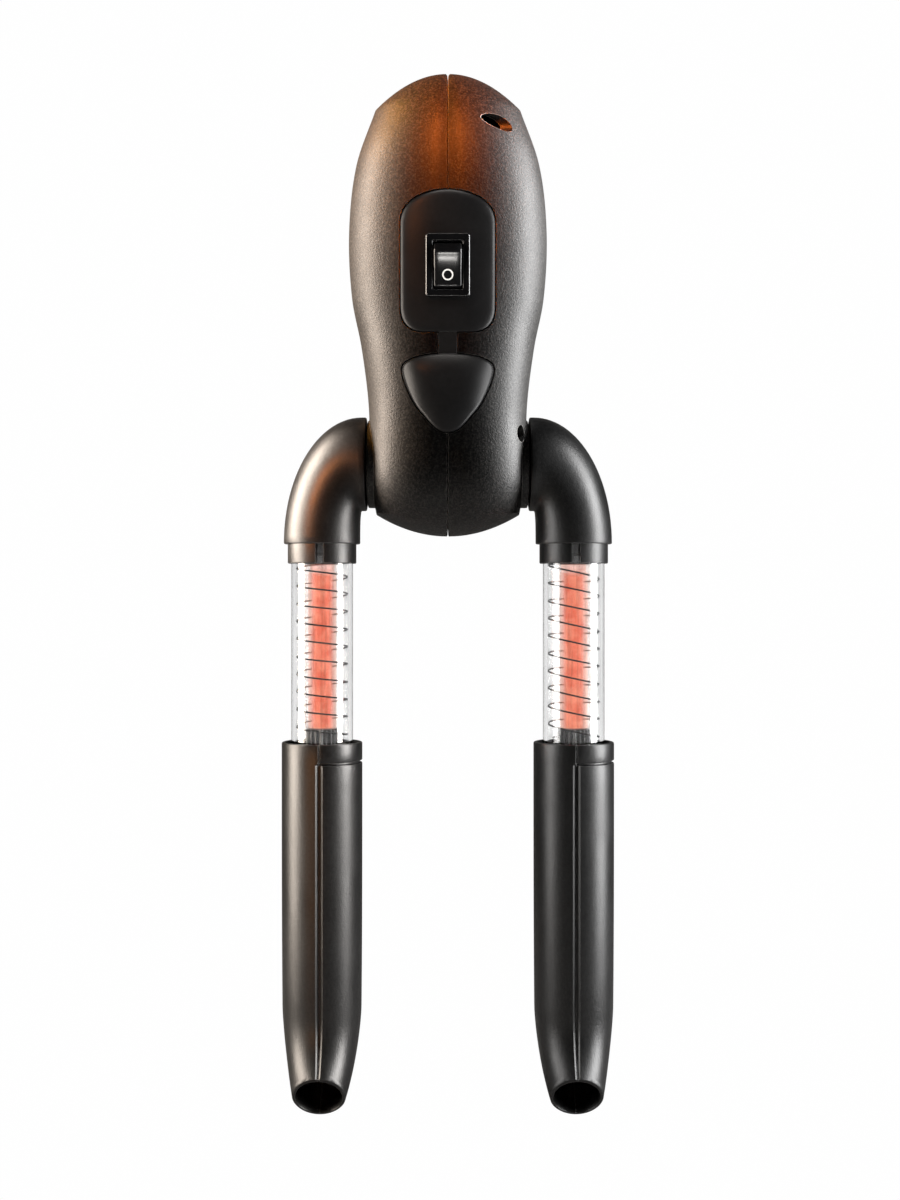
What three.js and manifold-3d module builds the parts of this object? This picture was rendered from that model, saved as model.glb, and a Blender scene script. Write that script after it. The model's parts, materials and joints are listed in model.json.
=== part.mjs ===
// Boot dryer: a handheld housing with a fan and heater, and two swivelling arms that hang into the boots.
// Millimetres, +Z up, with the switch side facing -Y. Heights in the code are measured from the arms' swivel
// axis. The finished group is then lifted, so that the origin is at the middle of the whole dryer's height.
import * as THREE from 'three';
import { mergeVertices } from 'three/addons/utils/BufferGeometryUtils.js';
import Module from 'manifold-3d';

const wasm = await Module();
wasm.setup();

// General fits
const GAP = 0.3; // clearance between neighbouring pieces
const SMOOTHING = 0.02; // how far a surface may move when slivers left by a cut are merged
const HALF_GAP = GAP / 2;
const WALL = 2.4; // housing wall
const ROUND = 20; // sides of a large circle
const SMALL_ROUND = 10; // sides of a small circle
const THIN_ROUND = 6; // sides of a thin round bar
const THROUGH = 80; // length of a cutter that passes right through the housing

// Housing: oval sections along Z, closed by a domed top and a shallow domed bottom
const HOUSING_FLANK = [ // half width, half depth, height
  [23.6, 24.0, -16.8],
  [25.8, 26.3, -5],
  [26.1, 27.0, 18],
  [28.5, 27.8, 38],
  [31.7, 28.8, 54.6],
  [32.7, 29.3, 76],
  [30.4, 28.0, 97.8],
  [24.3, 22.8, 116],
];
const FLANK_STEPS = 9;
const DOME_STEPS = 3;
const TOP_DOME_HEIGHT = 13.3;
const HOUSING_TOP_Z = HOUSING_FLANK.at(-1)[2] + TOP_DOME_HEIGHT;
const BOTTOM_DOME_HEIGHT = 7.1;
const SECTION_POWER_LOW = 2.7; // section shape at the swivel: 2 is an ellipse, higher is squarer
const SECTION_POWER_HIGH = 2.1; // section shape at the top
const SECTION_SIDES = 24;

// Front trim: switch panel, neck and raised pad in one moulding
const PANEL_HALF_WIDTH = 15;
const PANEL_BOTTOM_Z = 39.5;
const PANEL_TOP_Z = 84.1;
const NECK_WIDTH = 5.7;
const PAD_TOP_Z = 32.7;
const PAD_TIP_Z = 7.9;
const PAD_HALF_WIDTH = 14.6;
const TRIM_DEPTH = 1; // how far the trim goes below the housing's surface
const PAD_PROUD = 1.2;
const PANEL_PROUD = 0.15;

// Rocker switch
const SWITCH_Z = 60;
const BEZEL = { width: 14, height: 20, back: -28.7, front: -30.7, corner: 1 };
const SWITCH_CASE = { width: 12, height: 18.4, back: -16 };
const SWITCH_WINDOW = { width: 9.2, height: 15, floor: -23.2 };
const ROCKER_PIVOT_Y = -28.5;
const ROCKER_WIDTH = 8.6;
const ROCKER_END_RADIUS = 7.1;
const ROCKER_PIN = { radius: 0.8, halfLength: 5.7, clearance: 0.3 };
const TERMINAL = { width: 4.8, length: 9, thickness: 0.8, fromMiddle: 5 };

// Swivel joint and arms
const ARM_X = 41.75;
const BOSS_RADIUS = 14.5;
const BOSS_FACE_X = 26.4;
const BOSS_INNER_X = 21.7;
const ELBOW_FACE_X = 26.9;
const ELBOW_BEND_X = 28.5;
const ELBOW_START_RADIUS = 15.5;
const ELBOW_END_RADIUS = 12.65;
const ELBOW_END_Z = -26.1;
const ELBOW_WALL = 2.2;
const ELBOW_STEPS = 5;
const SPIGOT_RADIUS = 10.5;
const SPIGOT_BORE = 8.2;
const SPIGOT_END_X = 18.5;
const SPIGOT_GROOVE = { radius: 9.6, from: 19.9, to: 21.5 };
const SEAL = { radius: 13.4, seatRadius: 13.8, seatDepth: 0.9, lap: 0.6, clearance: 0.8 };
const RETAINING_RING = { radius: 13, slotWidth: 9, slotZ: -11 };
const COLLAR_RADIUS = 11.35;
const COLLAR_END_Z = -32.9;
const COLLAR_SLOT_WIDTH = 2.7;
const SNAP_TAB = { width: 1.9, depth: 1.5, height: 4.6, z: -29.6 };
const TUBE_RADIUS = 10.2;
const TUBE_BORE = 8.9;
const TUBE_TOP_Z = -25.8;
const TUBE_END_Z = -120;
const ROD_RADIUS = 4.1;
const ROD_TOP_Z = -31.3;
const ROD_END_Z = -89;
const ROD_END_STEPS = 4;
const HOLDER = { top: -26.2, end: -30, wall: 1.3, spokeZ: -28, spokeRadius: 0.9, capTop: -27 };
const SOCKET = { wall: 1.4, end: -35, sides: 16 };
const COIL_RADIUS = 8.2;
const COIL_WIRE_RADIUS = 0.35;
const COIL_PITCH = 5.8;
const COIL_TURNS = 10.4;
const COIL_TOP_Z = -31.5;
const COIL_SIDES = 8; // straight pieces in one turn

// Sleeve: slides on the clear tube and ends in a nozzle that bends forward
const RIM_Z = -92;
const RING_END_Z = -98.4;
const RIM_RADIUS = 13.35;
const SLEEVE_RADIUS = 13.1;
const SLEEVE_BORE = 11.75;
const LIP_RADIUS = 10.6;
const LIP_TOP_Z = -94;
const LIP_END_Z = -96.5;
const BEND_START_Z = -179.5;
const BEND_RADIUS = 32;
const BEND_ANGLE = THREE.MathUtils.degToRad(55);
const BEND_STEPS = 5;
const NOZZLE_RADIUS = 9.2;
const NOZZLE_BORE = 7.8;
const NOZZLE_TIP_Z = BEND_START_Z - (BEND_RADIUS + NOZZLE_RADIUS) * Math.sin(BEND_ANGLE);
const BUSH_RADIUS = 11.4;
const BUSH_TOP_Z = -97.2;
const BUSH_END_Z = -119.5;
const KEY_WIDTH = 2;
const KEY_RADIUS = 12.05;
const KEY_ROOT = 11;
const KEYWAY_LENGTH = 79;

// Air mover and heater inside the housing
const FAN_SIZE = 35;
const FAN_BOTTOM_Z = 36.5;
const FAN_HEIGHT = 10;
const FAN_OPENING = 16.4;
const FAN_MOTOR = { radius: 7, height: 3, bore: 1.5, spokeRadius: 0.9 };
const FAN_HUB = { radius: 8, shaftRadius: 1.1, bottomGap: 3.4, topGap: 0.6 };
const BLADE = { radius: 15.8, root: 7, thickness: 0.9, chord: 7, twist: 38, count: 7 };
const HEATER = { width: 30, depth: 24, bottom: 20.5, top: 33.5, frameWall: 2.6 };
const HEATER_CHANNELS = { count: 7, fin: 1.2, endWall: 2 };
const CUTOUT = { radius: 4.5, depth: 4, z: 27, tabs: [13, 1, 3.5] };
const SHELF_THICKNESS = 2;
const LEAD_RADIUS = 0.9;
const HEATER_LEAD_X = 8;
const HEATER_LEAD_Y = 20.3;

// Circuit board
const BOARD = { width: 36, height: 26, thickness: 1.6, y: 6, z: 97 };
const BOARD_RAIL = { width: 14, depth: 7, overlap: 2, shorter: 4 };
const CAPACITOR = { radius: 4, x: -8, y: 0.9, bottom: 92, top: 106 };
const RELAY = { size: [15, 9, 11], place: [6, 0.1, 92] };

// Rear side
const GRILLE = { halfWidth: 15, bottom: 38, top: 78, corner: 4, proud: 0.2, rim: 3 };
const GRILLE_SLOT = { width: 22, height: 2.2, pitch: 4.2, count: 8 };
const FOOT = { width: 22, height: 8, face: 32.66, back: 26.5, corner: 3 };
const FOOT_HEIGHTS = [14, 84.8];
const INLET = { z: 95.7, width: 22, height: 11, face: 29.6, flangeBack: 27, caseBack: 12, corner: 2 };
const INLET_CASE = { width: 19, height: 9 };
const INLET_MOUTH = { halfWidth: 7.8, halfHeight: 4.1, corner: 3.8, depth: 12 };
const INLET_PIN = { x: 4.3, radius: 1.2, below: 3 };
const SEAT_MARGIN = 2;
const SEAT_DEPTH = 8;

// Case screws run along X from the right shell into the left one; floor is where the head seats
const SCREW_POST_RADIUS = 4.2;
const SCREW_RECESS_RADIUS = 2.8;
const SCREW_HEAD_RADIUS = 2.4;
const SCREW_HEAD_HEIGHT = 2;
const SCREW_SHANK_RADIUS = 1.15;
const SCREW_CLEARANCE_RADIUS = 1.8;
const SCREW_PILOT_RADIUS = 1.45;
const SCREW_TIP_X = -10;
const SCREW_CROSS = { length: 3.2, width: 0.7, depth: 0.8 };
const SCREWS = [
  { y: -21, z: 107.3, floor: 8 },
  { y: 21, z: 107.3, floor: 8 },
  { y: -15, z: 8.7, floor: 18 },
  { y: 15, z: 8.7, floor: 18 },
];

// Finishes
const blackShell = { color: 0x2b2826, roughness: 0.55, metalness: 0 };
const satinTrim = { color: 0x0d0d0e, roughness: 0.4, metalness: 0 };
const glossBlack = { color: 0x08080a, roughness: 0.15, metalness: 0 };
const matteBlack = { color: 0x1a1a1b, roughness: 0.65, metalness: 0 };
const clearPlastic = { color: 0xe8eef2, roughness: 0.08, metalness: 0, transparent: true, opacity: 0.3 };
const glowingRod = { color: 0xf27a58, roughness: 0.5, metalness: 0, emissive: 0xf04a20 };
const wireSteel = { color: 0x55504e, roughness: 0.35, metalness: 1 };
const screwSteel = { color: 0x3c3c3e, roughness: 0.4, metalness: 1 };
const brass = { color: 0xb08d4a, roughness: 0.3, metalness: 1 };
const aluminium = { color: 0xb9bcc0, roughness: 0.4, metalness: 1 };
const rubber = { color: 0x161616, roughness: 0.85, metalness: 0 };
const ceramic = { color: 0xe6e0d4, roughness: 0.7, metalness: 0 };
const boardGreen = { color: 0x1f5a38, roughness: 0.5, metalness: 0 };
const copperLead = { color: 0x7a2a1c, roughness: 0.5, metalness: 0 };

const dryer = new THREE.Group();

// ---------- solids ----------

function solidOf(geometry) {
  const bare = geometry.clone();
  bare.deleteAttribute('normal');
  bare.deleteAttribute('uv');
  const merged = mergeVertices(bare, 1e-4);
  return new wasm.Manifold(new wasm.Mesh({
    numProp: 3,
    vertProperties: merged.getAttribute('position').array,
    triVerts: Uint32Array.from(merged.index.array),
  }));
}

function geometryOf(solid) {
  const mesh = solid.simplify(SMOOTHING).getMesh();
  const geometry = new THREE.BufferGeometry();
  geometry.setAttribute('position', new THREE.BufferAttribute(mesh.vertProperties, 3));
  geometry.setIndex(new THREE.BufferAttribute(mesh.triVerts, 1));
  geometry.computeVertexNormals();
  return geometry;
}

function add(name, finish, solid) {
  const mesh = new THREE.Mesh(geometryOf(solid), new THREE.MeshStandardMaterial(finish));
  mesh.name = name;
  dryer.add(mesh);
}

function box(width, depth, height, x, y, z) {
  return solidOf(new THREE.BoxGeometry(width, depth, height).translate(x, y, z));
}

// A cylinder between two points
function rod(radius, from, to, sides = ROUND) {
  const start = new THREE.Vector3(...from);
  const direction = new THREE.Vector3(...to).sub(start);
  const length = direction.length();
  const turn = new THREE.Quaternion().setFromUnitVectors(new THREE.Vector3(0, 1, 0), direction.normalize());
  const geometry = new THREE.CylinderGeometry(radius, radius, length, sides)
    .translate(0, length / 2, 0)
    .applyQuaternion(turn)
    .translate(...from);
  return solidOf(geometry);
}

// An upright ring around a vertical axis at x
function ring(outer, inner, bottom, top, x = 0, sides = ROUND) {
  const bore = rod(inner, [x, 0, bottom - 1], [x, 0, top + 1], sides);
  return rod(outer, [x, 0, bottom], [x, 0, top], sides).subtract(bore);
}

// A skin through rings of points, each counter-clockwise seen from the far end, with a fan at each end
function loft(rings, startPoint = middle(rings[0]), endPoint = middle(rings.at(-1))) {
  const count = rings[0].length;
  const start = rings.length * count;
  const end = start + 1;
  const last = start - count;
  const index = [];
  for (let i = 0; i < count; i++) {
    const next = (i + 1) % count;
    for (let row = 0; row < last; row += count) {
      index.push(row + i, row + next, row + count + next);
      index.push(row + i, row + count + next, row + count + i);
    }
    index.push(start, next, i, end, last + i, last + next);
  }
  const geometry = new THREE.BufferGeometry().setFromPoints([...rings.flat(), startPoint, endPoint]);
  geometry.setIndex(index);
  return solidOf(geometry);
}

function middle(points) {
  const sum = new THREE.Vector3();
  points.forEach((point) => sum.add(point));
  return sum.divideScalar(points.length);
}

// An ellipse around a centre, with one half axis along u and the other along v
function ellipseRing(centre, u, v, sides = ROUND) {
  return Array.from({ length: sides }, (_, i) => {
    const angle = (2 * Math.PI * i) / sides;
    return centre.clone().addScaledVector(u, Math.cos(angle)).addScaledVector(v, Math.sin(angle));
  });
}

// A flat outline in X and Z, made solid from y = near to y = far
function slab(shape, near, far, curveSegments = 3) {
  const geometry = new THREE.ExtrudeGeometry(shape, {
    depth: far - near,
    bevelEnabled: false,
    curveSegments,
  });
  return solidOf(geometry.rotateX(Math.PI / 2).translate(0, far, 0));
}

// A round wire along a curve
function wire(radius, curve, steps, sides) {
  const section = new THREE.Shape();
  section.absarc(0, 0, radius, 0, 2 * Math.PI);
  return solidOf(new THREE.ExtrudeGeometry(section, {
    steps,
    curveSegments: sides,
    bevelEnabled: false,
    extrudePath: curve,
  }));
}

function roundedRectangle(halfWidth, bottom, top, radius) {
  const shape = new THREE.Shape();
  shape.moveTo(-halfWidth + radius, bottom);
  shape.lineTo(halfWidth - radius, bottom);
  shape.absarc(halfWidth - radius, bottom + radius, radius, -Math.PI / 2, 0);
  shape.lineTo(halfWidth, top - radius);
  shape.absarc(halfWidth - radius, top - radius, radius, 0, Math.PI / 2);
  shape.lineTo(-halfWidth + radius, top);
  shape.absarc(-halfWidth + radius, top - radius, radius, Math.PI / 2, Math.PI);
  shape.lineTo(-halfWidth, bottom + radius);
  shape.absarc(-halfWidth + radius, bottom + radius, radius, Math.PI, 1.5 * Math.PI);
  return shape;
}

// ---------- housing ----------

function housingSection(halfWidth, halfDepth, z) {
  const power = THREE.MathUtils.mapLinear(
    THREE.MathUtils.clamp(z, 0, HOUSING_FLANK.at(-1)[2]),
    0, HOUSING_FLANK.at(-1)[2], SECTION_POWER_LOW, SECTION_POWER_HIGH,
  );
  return Array.from({ length: SECTION_SIDES }, (_, i) => {
    const angle = (2 * Math.PI * (i + 0.5)) / SECTION_SIDES;
    const cos = Math.cos(angle);
    const sin = Math.sin(angle);
    const x = Math.sign(cos) * halfWidth * Math.abs(cos) ** (2 / power);
    const y = Math.sign(sin) * halfDepth * Math.abs(sin) ** (2 / power);
    return new THREE.Vector3(x, y, z);
  });
}

// The housing's outer form, moved inwards by inset (outwards when negative)
function housingForm(inset) {
  const curve = new THREE.CatmullRomCurve3(HOUSING_FLANK.map((point) => new THREE.Vector3(...point)));
  const flank = curve.getPoints(FLANK_STEPS).map((point) => ({
    halfWidth: point.x - inset,
    halfDepth: point.y - inset,
    z: point.z,
  }));
  const dome = (base, height) => {
    const steps = [];
    for (let i = 1; i < DOME_STEPS; i++) {
      const rise = 1 - (1 - i / DOME_STEPS) ** 2;
      const shrink = Math.sqrt(1 - rise);
      steps.push({
        halfWidth: base.halfWidth * shrink,
        halfDepth: base.halfDepth * shrink,
        z: base.z + rise * height,
      });
    }
    return steps;
  };
  const bottomHeight = -(BOTTOM_DOME_HEIGHT - inset);
  const topHeight = TOP_DOME_HEIGHT - inset;
  const bottom = dome(flank[0], bottomHeight).reverse();
  const top = dome(flank.at(-1), topHeight);
  const rings = [...bottom, ...flank, ...top].map((s) => housingSection(s.halfWidth, s.halfDepth, s.z));
  const bottomPole = new THREE.Vector3(0, 0, flank[0].z + bottomHeight);
  const topPole = new THREE.Vector3(0, 0, HOUSING_TOP_Z - inset);
  return loft(rings, bottomPole, topPole);
}

const outerForm = housingForm(0);
const innerForm = housingForm(WALL);

// Half of space on one side of a plane x = place, as a large block
function halfSpace(side, place) {
  const size = 600;
  return box(size, size, size, place + (side * size) / 2, 0, 0);
}

function panelOutline(grow) {
  const w = PANEL_HALF_WIDTH + grow;
  const bottom = PANEL_BOTTOM_Z - grow;
  const top = PANEL_TOP_Z + grow;
  const shape = new THREE.Shape();
  shape.moveTo(w, bottom + 8);
  shape.lineTo(w, top - 10.5);
  shape.bezierCurveTo(w, top - 5, w - 4, top - 2.4, w - 8, top - 1.2);
  shape.quadraticCurveTo(w / 4, top, 0, top);
  shape.quadraticCurveTo(-w / 4, top, -w + 8, top - 1.2);
  shape.bezierCurveTo(-w + 4, top - 2.4, -w, top - 5, -w, top - 10.5);
  shape.lineTo(-w, bottom + 8);
  shape.bezierCurveTo(-w, bottom + 3, -w + 3, bottom, -w + 8, bottom);
  shape.lineTo(w - 8, bottom);
  shape.bezierCurveTo(w - 3, bottom, w, bottom + 3, w, bottom + 8);
  return shape;
}

function padOutline(grow) {
  const w = PAD_HALF_WIDTH + grow;
  const top = PAD_TOP_Z + grow;
  const tip = PAD_TIP_Z - grow;
  const shape = new THREE.Shape();
  shape.moveTo(0, tip);
  shape.bezierCurveTo(w * 0.28, tip, w * 0.4, tip + 3.6, w * 0.6, tip + 6.7);
  shape.bezierCurveTo(w * 0.8, tip + 10, w, tip + 17.5, w, top - 5);
  shape.bezierCurveTo(w, top - 2.8, w * 0.86, top - 1.9, w * 0.7, top - 1.2);
  shape.bezierCurveTo(w * 0.45, top - 0.2, w * 0.2, top, 0, top);
  shape.bezierCurveTo(-w * 0.2, top, -w * 0.45, top - 0.2, -w * 0.7, top - 1.2);
  shape.bezierCurveTo(-w * 0.86, top - 1.9, -w, top - 2.8, -w, top - 5);
  shape.bezierCurveTo(-w, tip + 17.5, -w * 0.8, tip + 10, -w * 0.6, tip + 6.7);
  shape.bezierCurveTo(-w * 0.4, tip + 3.6, -w * 0.28, tip, 0, tip);
  return shape;
}

// Blocks through the housing's front with the outlines of the panel, the neck and the pad
function trimBlocks(grow) {
  const front = -50;
  const neckHeight = PANEL_BOTTOM_Z - PAD_TOP_Z + 4;
  const neckZ = (PANEL_BOTTOM_Z + PAD_TOP_Z) / 2;
  return {
    panel: slab(panelOutline(grow), front, 0, 4),
    neck: box(NECK_WIDTH + 2 * grow, -front, neckHeight, 0, front / 2, neckZ),
    pad: slab(padOutline(grow), front, 0, 4),
  };
}

function frontTrim() {
  const blocks = trimBlocks(0);
  const panel = blocks.panel.intersect(housingForm(-PANEL_PROUD));
  const neck = blocks.neck.intersect(housingForm(TRIM_DEPTH / 2));
  const pad = blocks.pad.intersect(housingForm(-PAD_PROUD));
  const seatDepth = 10;
  const seat = box(
    BEZEL.width + 2 * GAP, seatDepth, BEZEL.height + 2 * GAP,
    0, BEZEL.back + GAP - seatDepth / 2, SWITCH_Z,
  );
  const opening = switchOpening();
  return panel.add(neck).add(pad).subtract(housingForm(TRIM_DEPTH)).subtract(seat).subtract(opening);
}

function switchOpening() {
  return box(SWITCH_CASE.width + 2 * GAP, 40, SWITCH_CASE.height + 2 * GAP, 0, -30, SWITCH_Z);
}

function trimRecess() {
  const blocks = trimBlocks(GAP);
  const recess = blocks.panel.add(blocks.neck).add(blocks.pad);
  return recess.subtract(housingForm(TRIM_DEPTH + GAP));
}

// Level shelf across the inside with a middle opening
function shelf(bottom, opening) {
  const plate = box(THROUGH, THROUGH, SHELF_THICKNESS, 0, 0, bottom + SHELF_THICKNESS / 2);
  return plate.intersect(housingForm(WALL / 2)).subtract(opening);
}

function shelves() {
  const leadHole = (x) => (
    rod(LEAD_RADIUS + 1, [x, HEATER_LEAD_Y, 0], [x, HEATER_LEAD_Y, THROUGH], SMALL_ROUND)
  );
  const fanHole = rod(FAN_OPENING, [0, 0, 0], [0, 0, THROUGH])
    .add(leadHole(-HEATER_LEAD_X))
    .add(leadHole(HEATER_LEAD_X));
  const heaterHole = box(HEATER.width, HEATER.depth, THROUGH, 0, 0, THROUGH / 2);
  const fanTop = FAN_BOTTOM_Z + FAN_HEIGHT + GAP;
  const fanShelves = shelf(FAN_BOTTOM_Z - GAP - SHELF_THICKNESS, fanHole).add(shelf(fanTop, fanHole));
  return fanShelves.add(shelf(HEATER.bottom - GAP - SHELF_THICKNESS, heaterHole));
}

// Slotted rails that hold the circuit board by its two upright edges
function boardRails() {
  const railX = BOARD.width / 2 + BOARD_RAIL.width / 2 - BOARD_RAIL.overlap;
  const height = BOARD.height - BOARD_RAIL.shorter;
  const rails = [-1, 1].map((side) => (
    box(BOARD_RAIL.width, BOARD_RAIL.depth, height, side * railX, BOARD.y, BOARD.z)
  ));
  const slot = box(
    BOARD.width + 2 * GAP, BOARD.thickness + 2 * GAP, BOARD.height + 2 * GAP,
    0, BOARD.y, BOARD.z,
  );
  return rails[0].add(rails[1]).intersect(housingForm(WALL / 2)).subtract(slot);
}

function swivelPort(side) {
  return rod(BOSS_RADIUS, [side * BOSS_INNER_X, 0, 0], [side * BOSS_FACE_X, 0, 0], 32);
}

function swivelBore(side) {
  const at = (x) => [side * x, 0, 0];
  const bore = rod(SPIGOT_RADIUS + GAP, at(BOSS_INNER_X / 2), at(THROUGH / 2));
  const sealSeat = rod(SEAL.seatRadius, at(BOSS_FACE_X - SEAL.seatDepth), at(THROUGH / 2));
  return bore.add(sealSeat);
}

function grilleOutline(grow) {
  return roundedRectangle(GRILLE.halfWidth + grow, GRILLE.bottom - grow, GRILLE.top + grow, GRILLE.corner);
}

function grilleSlots() {
  const middleZ = (GRILLE.bottom + GRILLE.top) / 2;
  let slots = null;
  for (let i = 0; i < GRILLE_SLOT.count; i++) {
    const z = middleZ + (i - (GRILLE_SLOT.count - 1) / 2) * GRILLE_SLOT.pitch;
    const slot = box(GRILLE_SLOT.width, THROUGH / 2, GRILLE_SLOT.height, 0, THROUGH / 2, z);
    slots = slots ? slots.add(slot) : slot;
  }
  return slots;
}

function intakeGrille() {
  const block = slab(grilleOutline(0), 0, THROUGH / 2);
  const skin = housingForm(-GRILLE.proud).subtract(housingForm(TRIM_DEPTH));
  return block.intersect(skin).subtract(grilleSlots());
}

function rearRecesses() {
  const far = THROUGH / 2;
  const grilleSeat = slab(grilleOutline(GAP), 0, far).subtract(housingForm(TRIM_DEPTH + GAP));
  const airOpening = box(
    GRILLE_SLOT.width + 1, far, GRILLE.top - GRILLE.bottom - 2 * GRILLE.rim,
    0, far, (GRILLE.top + GRILLE.bottom) / 2,
  );
  const inletCase = box(
    INLET_CASE.width + 2 * GAP, far, INLET_CASE.height + 2 * GAP,
    0, INLET.caseBack - GAP + far / 2, INLET.z,
  );
  const flangeDepth = 10;
  const inletFlange = box(
    INLET.width + 2 * GAP, flangeDepth, INLET.height + 2 * GAP,
    0, INLET.flangeBack - GAP + flangeDepth / 2, INLET.z,
  );
  const feet = FOOT_HEIGHTS.map((z) => slab(footOutline(z, GAP), FOOT.back - GAP, far));
  return grilleSeat.add(airOpening).add(inletCase).add(inletFlange).add(feet[0]).add(feet[1]);
}

function footOutline(z, grow) {
  const halfHeight = FOOT.height / 2 + grow;
  return roundedRectangle(FOOT.width / 2 + grow, z - halfHeight, z + halfHeight, FOOT.corner);
}

function rearFoot(z) {
  return slab(footOutline(z, 0), FOOT.back, FOOT.face);
}

// Raised seats behind the feet and the inlet, so that each stands on solid material
function rearSeats() {
  const seat = (piece, back, z) => box(
    piece.width + 2 * SEAT_MARGIN, SEAT_DEPTH, piece.height + 2 * SEAT_MARGIN,
    0, back - SEAT_MARGIN, z,
  );
  const seats = FOOT_HEIGHTS.map((z) => seat(FOOT, FOOT.back, z));
  const inletSeat = seat(INLET, INLET.flangeBack, INLET.z);
  return seats[0].add(seats[1]).add(inletSeat).intersect(outerForm);
}

function screwPosts() {
  let posts = null;
  for (const screw of SCREWS) {
    const at = (x) => [x, screw.y, screw.z];
    const post = rod(SCREW_POST_RADIUS, at(-THROUGH / 2), at(THROUGH / 2), SMALL_ROUND);
    posts = posts ? posts.add(post) : post;
  }
  return posts.intersect(housingForm(WALL / 2));
}

function screwBores() {
  let bores = null;
  for (const screw of SCREWS) {
    const at = (x) => [x, screw.y, screw.z];
    const recess = rod(SCREW_RECESS_RADIUS, at(screw.floor), at(THROUGH / 2), SMALL_ROUND);
    const clearance = rod(SCREW_CLEARANCE_RADIUS, at(0), at(screw.floor + 1), SMALL_ROUND);
    const pilot = rod(SCREW_PILOT_RADIUS, at(SCREW_TIP_X - 1), at(0), SMALL_ROUND);
    const bore = recess.add(clearance).add(pilot);
    bores = bores ? bores.add(bore) : bore;
  }
  return bores;
}

function housingShell() {
  let shell = outerForm.subtract(innerForm);
  for (const feature of [shelves(), boardRails(), screwPosts(), rearSeats(), swivelPort(-1), swivelPort(1)]) {
    shell = shell.add(feature);
  }
  const bores = [screwBores(), swivelBore(-1), swivelBore(1)];
  for (const cut of [...bores, trimRecess(), switchOpening(), rearRecesses()]) {
    shell = shell.subtract(cut);
  }
  return shell;
}

function caseScrew({ y, z, floor }) {
  const seat = floor + GAP;
  const top = seat + SCREW_HEAD_HEIGHT;
  const screw = rod(SCREW_HEAD_RADIUS, [seat, y, z], [top, y, z], SMALL_ROUND)
    .add(rod(SCREW_SHANK_RADIUS, [SCREW_TIP_X, y, z], [seat + 0.5, y, z], THIN_ROUND));
  const { length, width, depth } = SCREW_CROSS;
  const cross = box(2 * depth, length, width, top, y, z).add(box(2 * depth, width, length, top, y, z));
  return screw.subtract(cross);
}

// ---------- switch ----------

function switchBezel() {
  const halfHeight = BEZEL.height / 2;
  const outline = roundedRectangle(BEZEL.width / 2, SWITCH_Z - halfHeight, SWITCH_Z + halfHeight, BEZEL.corner);
  const overlap = 0.5;
  const caseDepth = SWITCH_CASE.back - BEZEL.back + overlap;
  const body = box(
    SWITCH_CASE.width, caseDepth, SWITCH_CASE.height,
    0, SWITCH_CASE.back - caseDepth / 2, SWITCH_Z,
  );
  const windowDepth = 20;
  const window = box(
    SWITCH_WINDOW.width, windowDepth, SWITCH_WINDOW.height,
    0, SWITCH_WINDOW.floor - windowDepth / 2, SWITCH_Z,
  );
  const sockets = rockerPin(ROCKER_PIN.clearance);
  return slab(outline, BEZEL.front, BEZEL.back).add(body).subtract(window).subtract(sockets);
}

function rockerPin(grow) {
  const end = ROCKER_PIN.halfLength + grow;
  const at = (x) => [x, ROCKER_PIVOT_Y, SWITCH_Z];
  return rod(ROCKER_PIN.radius + grow, at(-end), at(end), SMALL_ROUND);
}

// Side view of the rocker: u is height above the pivot, v is how far it stands out of the switch
function rocker() {
  const below = -3.6;
  const endHeight = Math.sqrt(ROCKER_END_RADIUS ** 2 - below ** 2);
  const side = new THREE.Shape();
  side.moveTo(-endHeight, below);
  side.quadraticCurveTo(-7.9, -0.6, -6.75, 2.1);
  side.quadraticCurveTo(-1.5, 2.2, 3.6, 4.1);
  side.quadraticCurveTo(4.5, 4.3, 5.1, 3.8);
  side.lineTo(6.6, 2.4);
  side.quadraticCurveTo(7.9, -0.6, endHeight, below);
  const plate = new THREE.ExtrudeGeometry(side, { depth: ROCKER_WIDTH, bevelEnabled: false, curveSegments: 4 });
  plate.translate(0, 0, -ROCKER_WIDTH / 2);
  const toWorld = new THREE.Matrix4().makeBasis(
    new THREE.Vector3(0, 0, 1),
    new THREE.Vector3(0, -1, 0),
    new THREE.Vector3(1, 0, 0),
  );
  plate.applyMatrix4(toWorld);
  plate.translate(0, ROCKER_PIVOT_Y, SWITCH_Z);
  return solidOf(plate).add(rockerPin(0));
}

function switchTerminal(z) {
  const { width, length, thickness } = TERMINAL;
  return box(width, length, thickness, 0, SWITCH_CASE.back + GAP + length / 2, z);
}

// ---------- fan, heater and electronics ----------

function fanFrame() {
  const middleZ = FAN_BOTTOM_Z + FAN_HEIGHT / 2;
  const spokeZ = FAN_BOTTOM_Z + 1;
  const duct = rod(FAN_OPENING, [0, 0, 0], [0, 0, THROUGH]);
  let frame = box(FAN_SIZE, FAN_SIZE, FAN_HEIGHT, 0, 0, middleZ).subtract(duct);
  for (let i = 0; i < 3; i++) {
    const angle = (2 * Math.PI * i) / 3;
    const reach = FAN_OPENING + 0.6;
    const tip = [reach * Math.cos(angle), reach * Math.sin(angle), spokeZ];
    frame = frame.add(rod(FAN_MOTOR.spokeRadius, [0, 0, spokeZ], tip, THIN_ROUND));
  }
  const motorTop = FAN_BOTTOM_Z + FAN_MOTOR.height;
  const motor = ring(FAN_MOTOR.radius, FAN_MOTOR.bore, FAN_BOTTOM_Z, motorTop);
  const shaftHole = rod(FAN_MOTOR.bore, [0, 0, FAN_BOTTOM_Z - 1], [0, 0, motorTop + 1], SMALL_ROUND);
  return frame.add(motor).subtract(shaftHole);
}

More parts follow.
